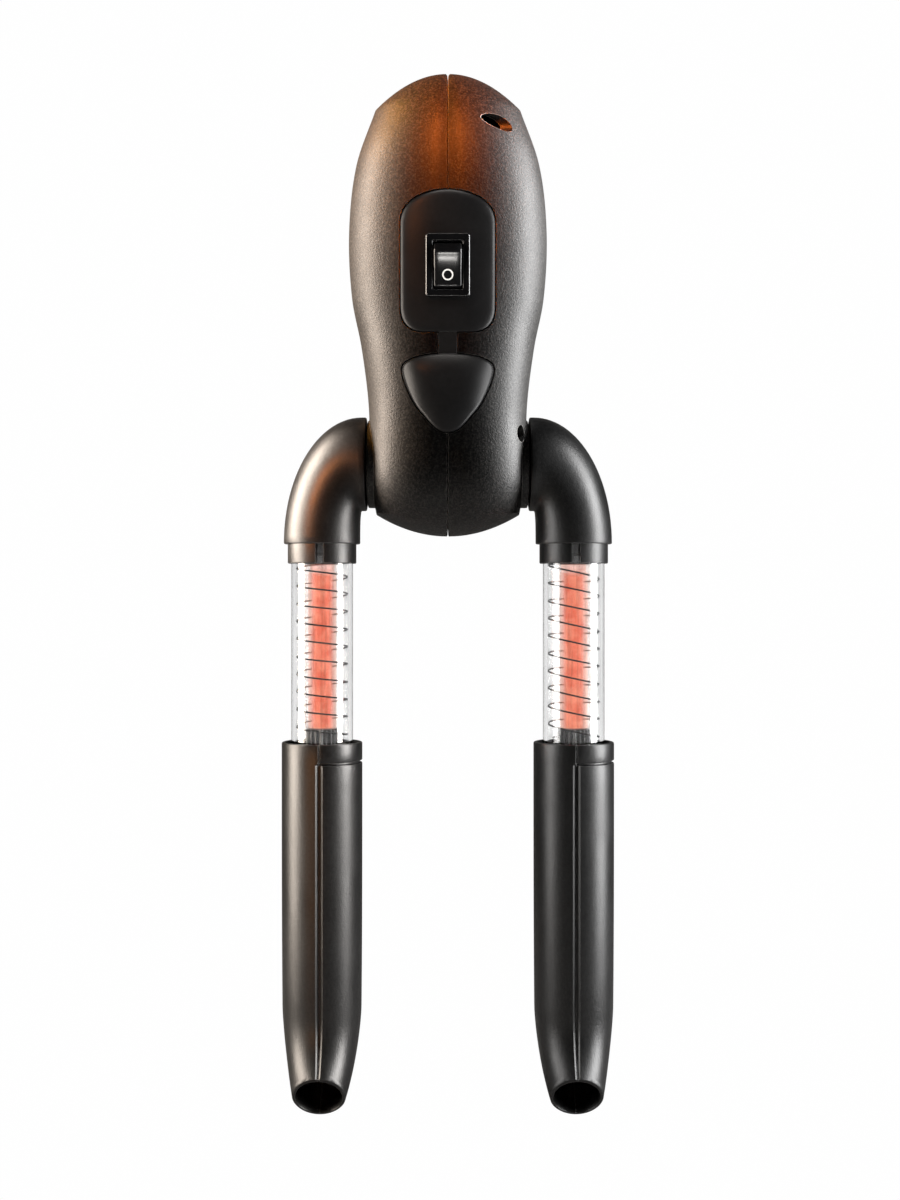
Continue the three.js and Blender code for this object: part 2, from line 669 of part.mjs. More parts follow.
function fanRotor() {
  const hubBottom = FAN_BOTTOM_Z + FAN_HUB.bottomGap;
  const hubTop = FAN_BOTTOM_Z + FAN_HEIGHT - FAN_HUB.topGap;
  const shaftEnd = FAN_BOTTOM_Z + FAN_HUB.topGap;
  let rotor = rod(FAN_HUB.radius, [0, 0, hubBottom], [0, 0, hubTop]);
  rotor = rotor.add(rod(FAN_HUB.shaftRadius, [0, 0, shaftEnd], [0, 0, hubBottom + 1], THIN_ROUND));
  for (let i = 0; i < BLADE.count; i++) {
    const blade = new THREE.BoxGeometry(BLADE.radius - BLADE.root, BLADE.thickness, BLADE.chord)
      .rotateX(THREE.MathUtils.degToRad(BLADE.twist))
      .translate((BLADE.radius + BLADE.root) / 2, 0, (hubBottom + hubTop) / 2)
      .rotateZ((2 * Math.PI * i) / BLADE.count);
    rotor = rotor.add(solidOf(blade));
  }
  return rotor;
}

function heaterFrame() {
  const middleZ = (HEATER.bottom + HEATER.top) / 2;
  const height = HEATER.top - HEATER.bottom;
  const outer = box(
    HEATER.width + 2 * HEATER.frameWall, HEATER.depth + 2 * HEATER.frameWall, height,
    0, 0, middleZ,
  );
  return outer.subtract(box(HEATER.width, HEATER.depth, height + 2, 0, 0, middleZ));
}

// Finned block: upright air channels between thin fins
function heaterElement() {
  const middleZ = (HEATER.bottom + HEATER.top) / 2;
  const height = HEATER.top - HEATER.bottom - 1;
  const width = HEATER.width - 2 * GAP;
  let block = box(width, HEATER.depth - 2 * GAP, height, 0, 0, middleZ);
  const { count, fin, endWall } = HEATER_CHANNELS;
  const pitch = width / count;
  for (let i = 0; i < count; i++) {
    const x = (i - (count - 1) / 2) * pitch;
    block = block.subtract(box(pitch - fin, HEATER.depth - 2 * endWall, height + 2, x, 0, middleZ));
  }
  return block;
}

function thermalCutout() {
  const y = -(HEATER.depth / 2 + HEATER.frameWall + GAP);
  const can = rod(CUTOUT.radius, [0, y, CUTOUT.z], [0, y - CUTOUT.depth, CUTOUT.z]);
  return can.add(box(...CUTOUT.tabs, 0, y - CUTOUT.tabs[1] / 2, CUTOUT.z));
}

function circuitBoard() {
  return box(BOARD.width, BOARD.thickness, BOARD.height, 0, BOARD.y, BOARD.z);
}

function boardCapacitor() {
  const { radius, x, y, bottom, top } = CAPACITOR;
  return rod(radius, [x, y, bottom], [x, y, top], 16);
}

function powerInlet() {
  const aroundZ = (halfWidth, halfHeight, corner) => (
    roundedRectangle(halfWidth, INLET.z - halfHeight, INLET.z + halfHeight, corner)
  );
  const flangeOutline = aroundZ(INLET.width / 2, INLET.height / 2, INLET.corner);
  const flange = slab(flangeOutline, INLET.flangeBack, INLET.face);
  const overlap = 0.5;
  const body = box(
    INLET_CASE.width, INLET.flangeBack - INLET.caseBack + overlap, INLET_CASE.height,
    0, (INLET.flangeBack + INLET.caseBack + overlap) / 2, INLET.z,
  );
  const { halfWidth, halfHeight, corner, depth } = INLET_MOUTH;
  const mouth = slab(aroundZ(halfWidth, halfHeight, corner), INLET.face - depth, INLET.face + 5);
  return flange.add(body).subtract(mouth).subtract(inletPinHoles());
}

function inletPinHoles() {
  const hole = (x) => rod(INLET_PIN.radius + GAP, [x, 10, INLET.z], [x, 20, INLET.z], SMALL_ROUND);
  return hole(-INLET_PIN.x).add(hole(INLET_PIN.x));
}

// The pins run through the inlet's case to the circuit board
function inletPin(x) {
  const boardFace = BOARD.y + BOARD.thickness / 2 + GAP;
  const tip = INLET.face - INLET_PIN.below;
  return rod(INLET_PIN.radius, [x, boardFace, INLET.z], [x, tip, INLET.z], SMALL_ROUND);
}

function lead(points) {
  const curve = new THREE.CatmullRomCurve3(points.map((point) => new THREE.Vector3(...point)));
  return wire(LEAD_RADIUS, curve, 9, 3);
}

// From the circuit board's rear face, down behind the fan, to the heater's rear edge
function heaterLead(x) {
  const heaterRear = HEATER.depth / 2 + HEATER.frameWall + GAP + LEAD_RADIUS;
  return lead([
    [x, BOARD.y + 2.5, 88],
    [x, 14, 79],
    [x, HEATER_LEAD_Y, 66],
    [x, HEATER_LEAD_Y, 50],
    [x, HEATER_LEAD_Y, 37],
    [x, heaterRear + 1, 28],
  ]);
}

// From the circuit board's front face to the tail of a switch terminal
function switchLead(x, terminalZ) {
  return lead([
    [x, BOARD.y - 2.5, 87],
    [x, -2, 80],
    [x / 2, -3.5, terminalZ + 3],
    [0, -4.9, terminalZ],
  ]);
}

// ---------- arms ----------

// One section of the elbow's bend, from 0 at the swivel to 1 at the collar
function elbowSection(t, inset) {
  const angle = (t * Math.PI) / 2;
  const rise = Math.cos(angle);
  const reach = Math.sin(angle);
  const outer = new THREE.Vector3(
    ELBOW_BEND_X + reach * (ARM_X + ELBOW_END_RADIUS - ELBOW_BEND_X), 0,
    ELBOW_END_Z + rise * (ELBOW_START_RADIUS - ELBOW_END_Z),
  );
  const inner = new THREE.Vector3(
    ELBOW_BEND_X + reach ** 0.7 * (ARM_X - ELBOW_END_RADIUS - ELBOW_BEND_X), 0,
    ELBOW_END_Z + rise ** 0.7 * (-ELBOW_START_RADIUS - ELBOW_END_Z),
  );
  const centre = outer.clone().add(inner).divideScalar(2);
  const across = outer.clone().sub(centre);
  const halfHeight = across.length() - inset;
  const halfDepth = THREE.MathUtils.lerp(ELBOW_START_RADIUS, ELBOW_END_RADIUS, t) - inset;
  across.setLength(halfHeight);
  return ellipseRing(centre, across, new THREE.Vector3(0, -halfDepth, 0));
}

function elbowBend(inset) {
  const rings = [];
  for (let i = 0; i <= ELBOW_STEPS; i++) {
    rings.push(elbowSection(i / ELBOW_STEPS, inset));
  }
  return loft(rings);
}

function rightElbow() {
  const onAxis = (x) => [x, 0, 0];
  const overlap = 0.05;
  const stub = rod(ELBOW_START_RADIUS, onAxis(ELBOW_FACE_X), onAxis(ELBOW_BEND_X + overlap));
  const spigot = rod(SPIGOT_RADIUS, onAxis(SPIGOT_END_X), onAxis(ELBOW_FACE_X + overlap));
  const groove = rod(SPIGOT_RADIUS + 2, onAxis(SPIGOT_GROOVE.from), onAxis(SPIGOT_GROOVE.to))
    .subtract(rod(SPIGOT_GROOVE.radius, onAxis(10), onAxis(30)));
  const collar = rod(COLLAR_RADIUS, [ARM_X, 0, COLLAR_END_Z], [ARM_X, 0, ELBOW_END_Z + overlap]);
  const tubeSeat = rod(TUBE_RADIUS + GAP, [ARM_X, 0, COLLAR_END_Z - 1], [ARM_X, 0, TUBE_TOP_Z + GAP]);
  const airBore = rod(SPIGOT_BORE, onAxis(SPIGOT_END_X - 1), onAxis(ELBOW_BEND_X + 1));
  const outside = elbowBend(0).add(stub).add(spigot).add(collar);
  return outside.subtract(groove).subtract(elbowBend(ELBOW_WALL)).subtract(airBore).subtract(tubeSeat);
}

function elbow(side) {
  const blank = side > 0 ? rightElbow() : rightElbow().rotate([0, 0, 180]);
  const slotHeight = ELBOW_END_Z - COLLAR_END_Z;
  const slot = box(
    COLLAR_SLOT_WIDTH, 6, slotHeight + 2,
    side * ARM_X, -COLLAR_RADIUS, COLLAR_END_Z + slotHeight / 2 - 1,
  );
  return blank.subtract(slot);
}

function swivelSeal(side) {
  const at = (x) => [side * x, 0, 0];
  return rod(SEAL.radius, at(BOSS_FACE_X - SEAL.lap), at(ELBOW_FACE_X - GAP))
    .subtract(rod(SPIGOT_RADIUS + SEAL.clearance, at(BOSS_INNER_X), at(ELBOW_FACE_X + 1)));
}

// Open ring that snaps into the spigot's groove behind the boss
function retainingRing(side) {
  const at = (x) => [side * x, 0, 0];
  const disc = rod(RETAINING_RING.radius, at(SPIGOT_GROOVE.from + GAP), at(SPIGOT_GROOVE.to - GAP));
  const bore = rod(SPIGOT_GROOVE.radius + GAP, at(SPIGOT_END_X), at(BOSS_FACE_X));
  const { slotWidth, slotZ } = RETAINING_RING;
  return disc.subtract(bore).subtract(box(6, slotWidth, 10, side * SPIGOT_GROOVE.to, 0, slotZ));
}

function clearTube(x) {
  const tab = box(SNAP_TAB.width, SNAP_TAB.depth, SNAP_TAB.height, x, -TUBE_RADIUS - 0.2, SNAP_TAB.z);
  const wall = ring(TUBE_RADIUS, TUBE_BORE, TUBE_END_Z, TUBE_TOP_Z, x);
  return wall.add(tab);
}

// Ring, spokes and socket that hang the heater rod in the middle of the tube
function rodHolder(x) {
  const ringRadius = TUBE_BORE - GAP;
  let holder = ring(ringRadius, ringRadius - HOLDER.wall, HOLDER.end, HOLDER.top, x);
  for (let i = 0; i < 3; i++) {
    const angle = Math.PI / 2 + (2 * Math.PI * i) / 3;
    const reach = ringRadius - HOLDER.wall / 2;
    const tip = [x + reach * Math.cos(angle), reach * Math.sin(angle), HOLDER.spokeZ];
    holder = holder.add(rod(HOLDER.spokeRadius, [x, 0, HOLDER.spokeZ], tip, THIN_ROUND));
  }
  const socketRadius = ROD_RADIUS + SOCKET.wall;
  const socket = ring(socketRadius, ROD_RADIUS + GAP, SOCKET.end, HOLDER.end + 1, x, SOCKET.sides);
  const cap = rod(socketRadius, [x, 0, HOLDER.end], [x, 0, HOLDER.capTop], SOCKET.sides);
  return holder.add(socket).add(cap);
}

function heaterRod(x) {
  const profile = [new THREE.Vector2(0, ROD_END_Z)];
  for (let i = 1; i <= ROD_END_STEPS; i++) {
    const angle = (Math.PI / 2) * (i / ROD_END_STEPS);
    profile.push(new THREE.Vector2(
      ROD_RADIUS * Math.sin(angle),
      ROD_END_Z + ROD_RADIUS * (1 - Math.cos(angle)),
    ));
  }
  profile.push(new THREE.Vector2(ROD_RADIUS, ROD_TOP_Z), new THREE.Vector2(0, ROD_TOP_Z));
  return solidOf(new THREE.LatheGeometry(profile, SOCKET.sides).rotateX(Math.PI / 2).translate(x, 0, 0));
}

class CoilCurve extends THREE.Curve {
  constructor(x) {
    super();
    this.x = x;
  }

  getPoint(t, target = new THREE.Vector3()) {
    const angle = 2 * Math.PI * COIL_TURNS * t;
    const z = COIL_TOP_Z - COIL_PITCH * COIL_TURNS * t;
    return target.set(this.x + COIL_RADIUS * Math.cos(angle), COIL_RADIUS * Math.sin(angle), z);
  }
}

function wireCoil(x) {
  return wire(COIL_WIRE_RADIUS, new CoilCurve(x), Math.round(COIL_TURNS * COIL_SIDES), 2);
}

function guideBush(x) {
  const key = box(
    KEY_WIDTH, KEY_RADIUS - KEY_ROOT, BUSH_TOP_Z - BUSH_END_Z,
    x, (KEY_RADIUS + KEY_ROOT) / 2, (BUSH_TOP_Z + BUSH_END_Z) / 2,
  );
  return ring(BUSH_RADIUS, TUBE_RADIUS + GAP, BUSH_END_Z, BUSH_TOP_Z, x).add(key);
}

// Level circle of the sleeve, counter-clockwise seen from below
function sleeveCircle(x, z, radius) {
  return ellipseRing(
    new THREE.Vector3(x, 0, z),
    new THREE.Vector3(radius, 0, 0),
    new THREE.Vector3(0, -radius, 0),
  );
}

// Circles along the nozzle's forward bend; reach above 1 runs past its end
function nozzleCircles(x, startRadius, endRadius, reach) {
  const circles = [];
  for (let i = 1; i <= BEND_STEPS; i++) {
    const t = (reach * i) / BEND_STEPS;
    const angle = BEND_ANGLE * t;
    const radius = THREE.MathUtils.lerp(startRadius, endRadius, t);
    const centre = new THREE.Vector3(
      x,
      -BEND_RADIUS * (1 - Math.cos(angle)),
      BEND_START_Z - BEND_RADIUS * Math.sin(angle),
    );
    const forward = new THREE.Vector3(0, -Math.cos(angle), Math.sin(angle)).multiplyScalar(radius);
    circles.push(ellipseRing(centre, new THREE.Vector3(radius, 0, 0), forward));
  }
  return circles;
}

function sleeveOutside(x) {
  return loft([
    sleeveCircle(x, RIM_Z, RIM_RADIUS),
    sleeveCircle(x, RING_END_Z, RIM_RADIUS),
    sleeveCircle(x, BEND_START_Z, SLEEVE_RADIUS),
    ...nozzleCircles(x, SLEEVE_RADIUS, NOZZLE_RADIUS, 1),
  ]);
}

function sleeveInside(x) {
  const mouthRadius = 12;
  return loft([
    sleeveCircle(x, RIM_Z + 1, mouthRadius),
    sleeveCircle(x, LIP_TOP_Z, mouthRadius),
    sleeveCircle(x, LIP_TOP_Z, LIP_RADIUS),
    sleeveCircle(x, LIP_END_Z, LIP_RADIUS),
    sleeveCircle(x, LIP_END_Z, SLEEVE_BORE),
    sleeveCircle(x, BEND_START_Z, SLEEVE_BORE - 0.2),
    ...nozzleCircles(x, SLEEVE_BORE - 0.2, NOZZLE_BORE, 1.04),
  ]);
}

// The two halves of a sleeve: the main half carries the whole top ring, the cover starts below it
function sleeveHalves(x) {
  const keywayDepth = 3;
  const keyway = box(
    KEY_WIDTH + 2 * GAP, keywayDepth, KEYWAY_LENGTH,
    x, KEY_RADIUS + GAP - keywayDepth / 2, LIP_END_Z - (KEYWAY_LENGTH + 1) / 2,
  );
  const wall = sleeveOutside(x).subtract(sleeveInside(x)).subtract(keyway);
  const size = 100;
  const ringBlock = box(size, size, size, x, 0, RING_END_Z + size / 2);
  const belowRing = box(size, size, 300, x, 0, RING_END_Z - GAP - 150);
  return {
    main: wall.intersect(halfSpace(-1, x - HALF_GAP).add(ringBlock)),
    cover: wall.intersect(halfSpace(1, x + HALF_GAP)).intersect(belowRing),
  };
}

function addArm(label, side) {
  const x = side * ARM_X;
  const sleeve = sleeveHalves(x);
  add(`${label}_elbow`, matteBlack, elbow(side));
  add(`${label}_swivel_seal`, rubber, swivelSeal(side));
  add(`${label}_retaining_ring`, screwSteel, retainingRing(side));
  add(`${label}_clear_tube`, clearPlastic, clearTube(x));
  add(`${label}_rod_holder`, ceramic, rodHolder(x));
  add(`${label}_heater_rod`, glowingRod, heaterRod(x));
  add(`${label}_wire_coil`, wireSteel, wireCoil(x));
  add(`${label}_guide_bush`, matteBlack, guideBush(x));
  add(`${label}_sleeve_main`, matteBlack, sleeve.main);
  add(`${label}_sleeve_cover`, matteBlack, sleeve.cover);
}

// ---------- assembly ----------

const shell = housingShell();
add('left_shell', blackShell, shell.intersect(halfSpace(-1, -HALF_GAP)));
add('right_shell', blackShell, shell.intersect(halfSpace(1, HALF_GAP)));
add('front_trim', satinTrim, frontTrim());
add('switch_bezel', glossBlack, switchBezel());
add('switch_rocker', glossBlack, rocker());
add('switch_terminal_top', brass, switchTerminal(SWITCH_Z + TERMINAL.fromMiddle));
add('switch_terminal_bottom', brass, switchTerminal(SWITCH_Z - TERMINAL.fromMiddle));
SCREWS.forEach((screw, i) => add(`case_screw_${i + 1}`, screwSteel, caseScrew(screw)));
add('fan_frame', matteBlack, fanFrame());
add('fan_rotor', matteBlack, fanRotor());
add('heater_frame', ceramic, heaterFrame());
add('heater_element', aluminium, heaterElement());
add('thermal_cutout', aluminium, thermalCutout());
add('circuit_board', boardGreen, circuitBoard());
add('board_capacitor', matteBlack, boardCapacitor());
add('board_relay', blackShell, box(...RELAY.size, ...RELAY.place));
add('intake_grille', satinTrim, intakeGrille());
add('power_inlet', glossBlack, powerInlet());
add('inlet_pin_left', brass, inletPin(-INLET_PIN.x));
add('inlet_pin_right', brass, inletPin(INLET_PIN.x));
add('rear_foot_lower', rubber, rearFoot(FOOT_HEIGHTS[0]));
add('rear_foot_upper', rubber, rearFoot(FOOT_HEIGHTS[1]));
add('heater_lead_left', copperLead, heaterLead(-HEATER_LEAD_X));
add('heater_lead_right', copperLead, heaterLead(HEATER_LEAD_X));
add('switch_lead_top', copperLead, switchLead(-14, SWITCH_Z + TERMINAL.fromMiddle));
add('switch_lead_bottom', copperLead, switchLead(15, SWITCH_Z - TERMINAL.fromMiddle));
addArm('left', -1);
addArm('right', 1);
dryer.position.z = -(HOUSING_TOP_Z + NOZZLE_TIP_Z) / 2;

export default dryer;
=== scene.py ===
"""Looks of the boot dryer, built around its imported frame. Metres, +Z up, the switch side faces -Y."""
import json
import math

import bmesh
import bpy
from mathutils import Matrix, Vector

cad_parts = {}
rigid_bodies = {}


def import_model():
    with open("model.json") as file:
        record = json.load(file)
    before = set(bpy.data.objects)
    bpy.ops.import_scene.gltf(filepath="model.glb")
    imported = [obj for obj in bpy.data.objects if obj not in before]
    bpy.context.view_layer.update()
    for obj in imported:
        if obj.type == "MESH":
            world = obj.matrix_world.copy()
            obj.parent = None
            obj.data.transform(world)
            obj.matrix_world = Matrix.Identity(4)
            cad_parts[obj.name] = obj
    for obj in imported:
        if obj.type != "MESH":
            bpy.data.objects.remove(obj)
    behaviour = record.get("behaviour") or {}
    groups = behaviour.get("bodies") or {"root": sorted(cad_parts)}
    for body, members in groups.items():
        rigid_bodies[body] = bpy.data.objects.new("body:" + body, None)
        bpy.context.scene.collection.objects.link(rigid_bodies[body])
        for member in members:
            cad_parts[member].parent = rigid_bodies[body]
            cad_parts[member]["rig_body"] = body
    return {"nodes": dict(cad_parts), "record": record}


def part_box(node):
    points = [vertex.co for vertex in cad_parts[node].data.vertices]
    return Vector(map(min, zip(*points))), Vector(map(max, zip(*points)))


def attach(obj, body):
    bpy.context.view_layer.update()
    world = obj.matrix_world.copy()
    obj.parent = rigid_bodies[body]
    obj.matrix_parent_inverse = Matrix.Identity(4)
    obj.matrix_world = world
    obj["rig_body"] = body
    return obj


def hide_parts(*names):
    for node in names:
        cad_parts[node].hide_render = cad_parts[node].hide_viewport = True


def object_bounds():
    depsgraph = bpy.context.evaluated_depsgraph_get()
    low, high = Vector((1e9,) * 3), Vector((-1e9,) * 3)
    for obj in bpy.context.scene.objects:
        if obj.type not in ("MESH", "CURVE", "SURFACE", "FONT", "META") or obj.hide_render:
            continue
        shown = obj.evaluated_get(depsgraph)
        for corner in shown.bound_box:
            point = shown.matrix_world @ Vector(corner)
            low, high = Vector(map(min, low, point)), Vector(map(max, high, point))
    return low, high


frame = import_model()
cad_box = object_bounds()

MM = 0.001
GAP = 0.3 * MM
SLOT_OF = {row["node"]: row["material_slot"] for row in frame["record"]["subparts"]}
JOINT_AT = {joint["name"]: joint.get("pos_m") for joint in frame["record"]["behaviour"]["joints"]}

# Every piece is built around the arms' swivel axis and then lifted to its height in the frame
SWIVEL_Z = JOINT_AT["left_swivel"][2]
LIFT = Vector((0, 0, SWIVEL_Z))


def span(node):
    """Lowest and highest corners of a CAD node, measured from the swivel axis."""
    low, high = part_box(node)
    return Vector(low) - LIFT, Vector(high) - LIFT


def middle(node):
    """Middle of a CAD node along X, Y and Z, measured from the swivel axis."""
    low, high = span(node)
    return [(a + b) / 2 for a, b in zip(low, high)]


# Housing: half width, half depth and height of its driving sections
FLANK = [tuple(value * MM for value in row) for row in (
    (23.6, 24.0, -16.8), (25.8, 26.3, -5.0), (26.1, 27.0, 18.0), (28.5, 27.8, 38.0),
    (31.7, 28.8, 54.6), (32.7, 29.3, 76.0), (30.4, 28.0, 97.8), (24.3, 22.8, 116.0),
)]
TOP_DOME = 12.5 * MM
BOTTOM_DOME = 7.1 * MM
POWER_LOW, POWER_HIGH = 2.7, 2.1
SHOULDER_Z, HEEL_Z = 84 * MM, 4 * MM
SHOULDER_POWER, HEEL_POWER = 2.3, 3.0
FORM_TOP = FLANK[-1][2] + TOP_DOME
FORM_BOTTOM = FLANK[0][2] - BOTTOM_DOME
WALL = 2.4 * MM
TRIM_DEPTH = 1.0 * MM

# Arms
TUBE_LOW, TUBE_HIGH = span("right_clear_tube")
ARM_X = (TUBE_LOW.x + TUBE_HIGH.x) / 2
TUBE_TOP, TUBE_END = TUBE_HIGH.z, TUBE_LOW.z
ROD_TOP = span("right_heater_rod")[1].z
ROD_END = span("right_heater_rod")[0].z
RIM_Z = span("right_sleeve_main")[1].z
COLLAR_END = span("right_elbow")[0].z


# ---------- meshes ----------

def build(name, verts, faces, sharp=35):
    """A closed mesh with outward faces, smooth except at edges sharper than the angle in degrees."""
    mesh = bpy.data.meshes.new(name)
    mesh.from_pydata([tuple(v) for v in verts], [], faces)
    obj = bpy.data.objects.new(name, mesh)
    bpy.context.scene.collection.objects.link(obj)
    tidy(obj, sharp)
    return obj


def tidy(obj, sharp=35, merge=1e-7):
    """Merges doubled points, turns the faces outward and shades the mesh."""
    work = bmesh.new()
    work.from_mesh(obj.data)
    bmesh.ops.remove_doubles(work, verts=work.verts, dist=merge)
    bmesh.ops.dissolve_degenerate(work, edges=work.edges, dist=merge)
    bmesh.ops.recalc_face_normals(work, faces=work.faces)
    work.to_mesh(obj.data)
    work.free()
    obj.data.shade_smooth()
    obj.data.set_sharp_from_angle(angle=math.radians(sharp))


def loft(name, rings, looped=False, sharp=35):
    """Skin through rings of equal length. A looped one runs back into its first ring."""
    count, rows = len(rings[0]), len(rings)
    verts = [point for ring in rings for point in ring]
    faces = []
    for row in range(rows if looped else rows - 1):
        here, there = row * count, (row + 1) % rows * count
        for i in range(count):
            j = (i + 1) % count
            faces.append((here + i, here + j, there + j, there + i))
    if not looped:
        faces.append(tuple(range(count))[::-1])
        faces.append(tuple(range((rows - 1) * count, rows * count)))
    return build(name, verts, faces, sharp)


def circle(centre, u, v, sides=64, start=0.0):
    """Points of an ellipse with half axes u and v."""
    centre, u, v = Vector(centre), Vector(u), Vector(v)
    angles = [start + 2 * math.pi * i / sides for i in range(sides)]
    return [centre + u * math.cos(a) + v * math.sin(a) for a in angles]


def level(x, z, radius, sides=64):
    """A circle around an upright line."""
    return circle((x, 0, z), (radius, 0, 0), (0, -radius, 0), sides)


def across(x, radius, sides=64, y=0.0, z=0.0):
    """A circle around a line that runs along X."""
    return circle((x, y, z), (0, 0, radius), (0, -radius, 0), sides)


def turned(name, x, profile, sides, looped=False):
    """A turned piece around an upright line, from heights and radii."""
    return loft(name, [level(x, z, radius, sides) for z, radius in profile], looped)


def block(name, low, high):
    (x0, y0, z0), (x1, y1, z1) = low, high
    near = [(x0, y0, z0), (x1, y0, z0), (x1, y0, z1), (x0, y0, z1)]
    far = [(x0, y1, z0), (x1, y1, z0), (x1, y1, z1), (x0, y1, z1)]
    return loft(name, [[Vector(p) for p in near], [Vector(p) for p in far]])


def bake(obj):
    """Applies the object's modifiers to its mesh."""
    view = bpy.context.evaluated_depsgraph_get()
    mesh = bpy.data.meshes.new_from_object(obj.evaluated_get(view))
    obj.modifiers.clear()
    obj.data = mesh


def boolean(obj, tool, operation="DIFFERENCE", keep_tool=False):
    modifier = obj.modifiers.new("cut", "BOOLEAN")
    modifier.operation = operation
    modifier.solver = "EXACT"
    modifier.object = tool
    bake(obj)
    if not keep_tool:
        bpy.data.objects.remove(tool)
    return obj


def bezier(a, b, c, d, steps):
    """Points of a cubic curve in the front view, without its last one."""
    points = []
    for i in range(steps):
        t = i / steps
        s = 1 - t
        weights = (s ** 3, 3 * s * s * t, 3 * s * t * t, t ** 3)
        points.append(tuple(sum(w * p[k] for w, p in zip(weights, (a, b, c, d))) for k in (0, 1)))
    return points


def straight(a, b, steps):
    return [(a[0] + (b[0] - a[0]) * i / steps, a[1] + (b[1] - a[1]) * i / steps) for i in range(steps)]


def mirrored(half):
    """A closed outline from its right half, which starts and ends on the mid-line."""
    return half + [(-x, z) for x, z in reversed(half[1:-1])]


def rounded_loop(half_width, half_height, radius, corner=6, centre=(0.0, 0.0)):
    points = []
    for index, (sx, sz) in enumerate([(1, 1), (-1, 1), (-1, -1), (1, -1)]):
        for i in range(corner + 1):
            a = math.pi / 2 * (index + i / corner)
            x = centre[0] + sx * (half_width - radius) + radius * math.cos(a)
            z = centre[1] + sz * (half_height - radius) + radius * math.sin(a)
            points.append((x, z))
    return points


def at_depth(outline, y):
    return [Vector((x, y, z)) for x, z in outline]


# ---------- housing form ----------

def flank_at(z):
    """Half width and half depth of the housing at a height, from a cubic through the driving sections."""
    z = min(max(z, FLANK[0][2]), FLANK[-1][2])
    k = next(i for i in range(len(FLANK) - 1) if z <= FLANK[i + 1][2] + 1e-9)
    low, high = FLANK[k], FLANK[k + 1]
    length = high[2] - low[2]
    t = (z - low[2]) / length

    def slope(i, axis):
        before, after = FLANK[max(i - 1, 0)], FLANK[min(i + 1, len(FLANK) - 1)]
        return (after[axis] - before[axis]) / (after[2] - before[2])

    def value(axis):
        h00, h10 = 2 * t ** 3 - 3 * t ** 2 + 1, t ** 3 - 2 * t ** 2 + t
        h01, h11 = -2 * t ** 3 + 3 * t ** 2, t ** 3 - t ** 2
        ends = h00 * low[axis] + h01 * high[axis]
        return ends + length * (h10 * slope(k, axis) + h11 * slope(k + 1, axis))

    return value(0), value(1)


def depth_at(z):
    """Half depth, rounded off smoothly towards the top and the bottom."""
    if z > SHOULDER_Z:
        return swell(z, SHOULDER_Z, FORM_TOP, SHOULDER_POWER)
    if z < HEEL_Z:
        return swell(z, HEEL_Z, FORM_BOTTOM, HEEL_POWER)
    return flank_at(z)[1]


def swell(z, start, end, power):
    """Half depth of a rounded end: the flank's own at the start height, none at the end height."""
    share = min(max((z - start) / (end - start), 0), 1)
    return flank_at(start)[1] * math.sqrt(max(1 - share ** power, 0))


def power_at(z):
    share = min(max(z / FLANK[-1][2], 0), 1)
    return POWER_LOW + (POWER_HIGH - POWER_LOW) * share


def form_rows(inset, flank_rows=76, dome_rows=18):
    """Half width, half depth, height and section power of the form's levels, from bottom to top."""
    low, high = FLANK[0][2], FLANK[-1][2]
    rows = []
    for i in range(flank_rows + 1):
        z = low + (high - low) * i / flank_rows
        rows.append((flank_at(z)[0] - inset, depth_at(z) - inset, z, power_at(z)))

    def dome(base, height):
        levels = []
        for i in range(1, dome_rows):
            rise = 1 - (1 - i / dome_rows) ** 2
            z = base[2] + rise * height
            scale = (base[2] + height - z) / height
            outer_z = z + math.copysign(inset, height) * (1 - scale)
            levels.append((base[0] * math.sqrt(scale), max(depth_at(outer_z) - inset * scale, 0), z, base[3]))
        return levels

    bottom = dome(rows[0], -(BOTTOM_DOME - inset))
    top = dome(rows[-1], TOP_DOME - inset)
    return bottom[::-1] + rows + top


def front_y(x, z, inset=0.0):
    """Where the front of the form lies at a place in the front view."""
    power = power_at(z)
    share = min(abs(x) / (flank_at(z)[0] - inset), 0.999)
    return -(depth_at(z) - inset) * (1 - share ** power) ** (1 / power)


def back_y(x, z, inset=0.0):
    return -front_y(x, z, inset)


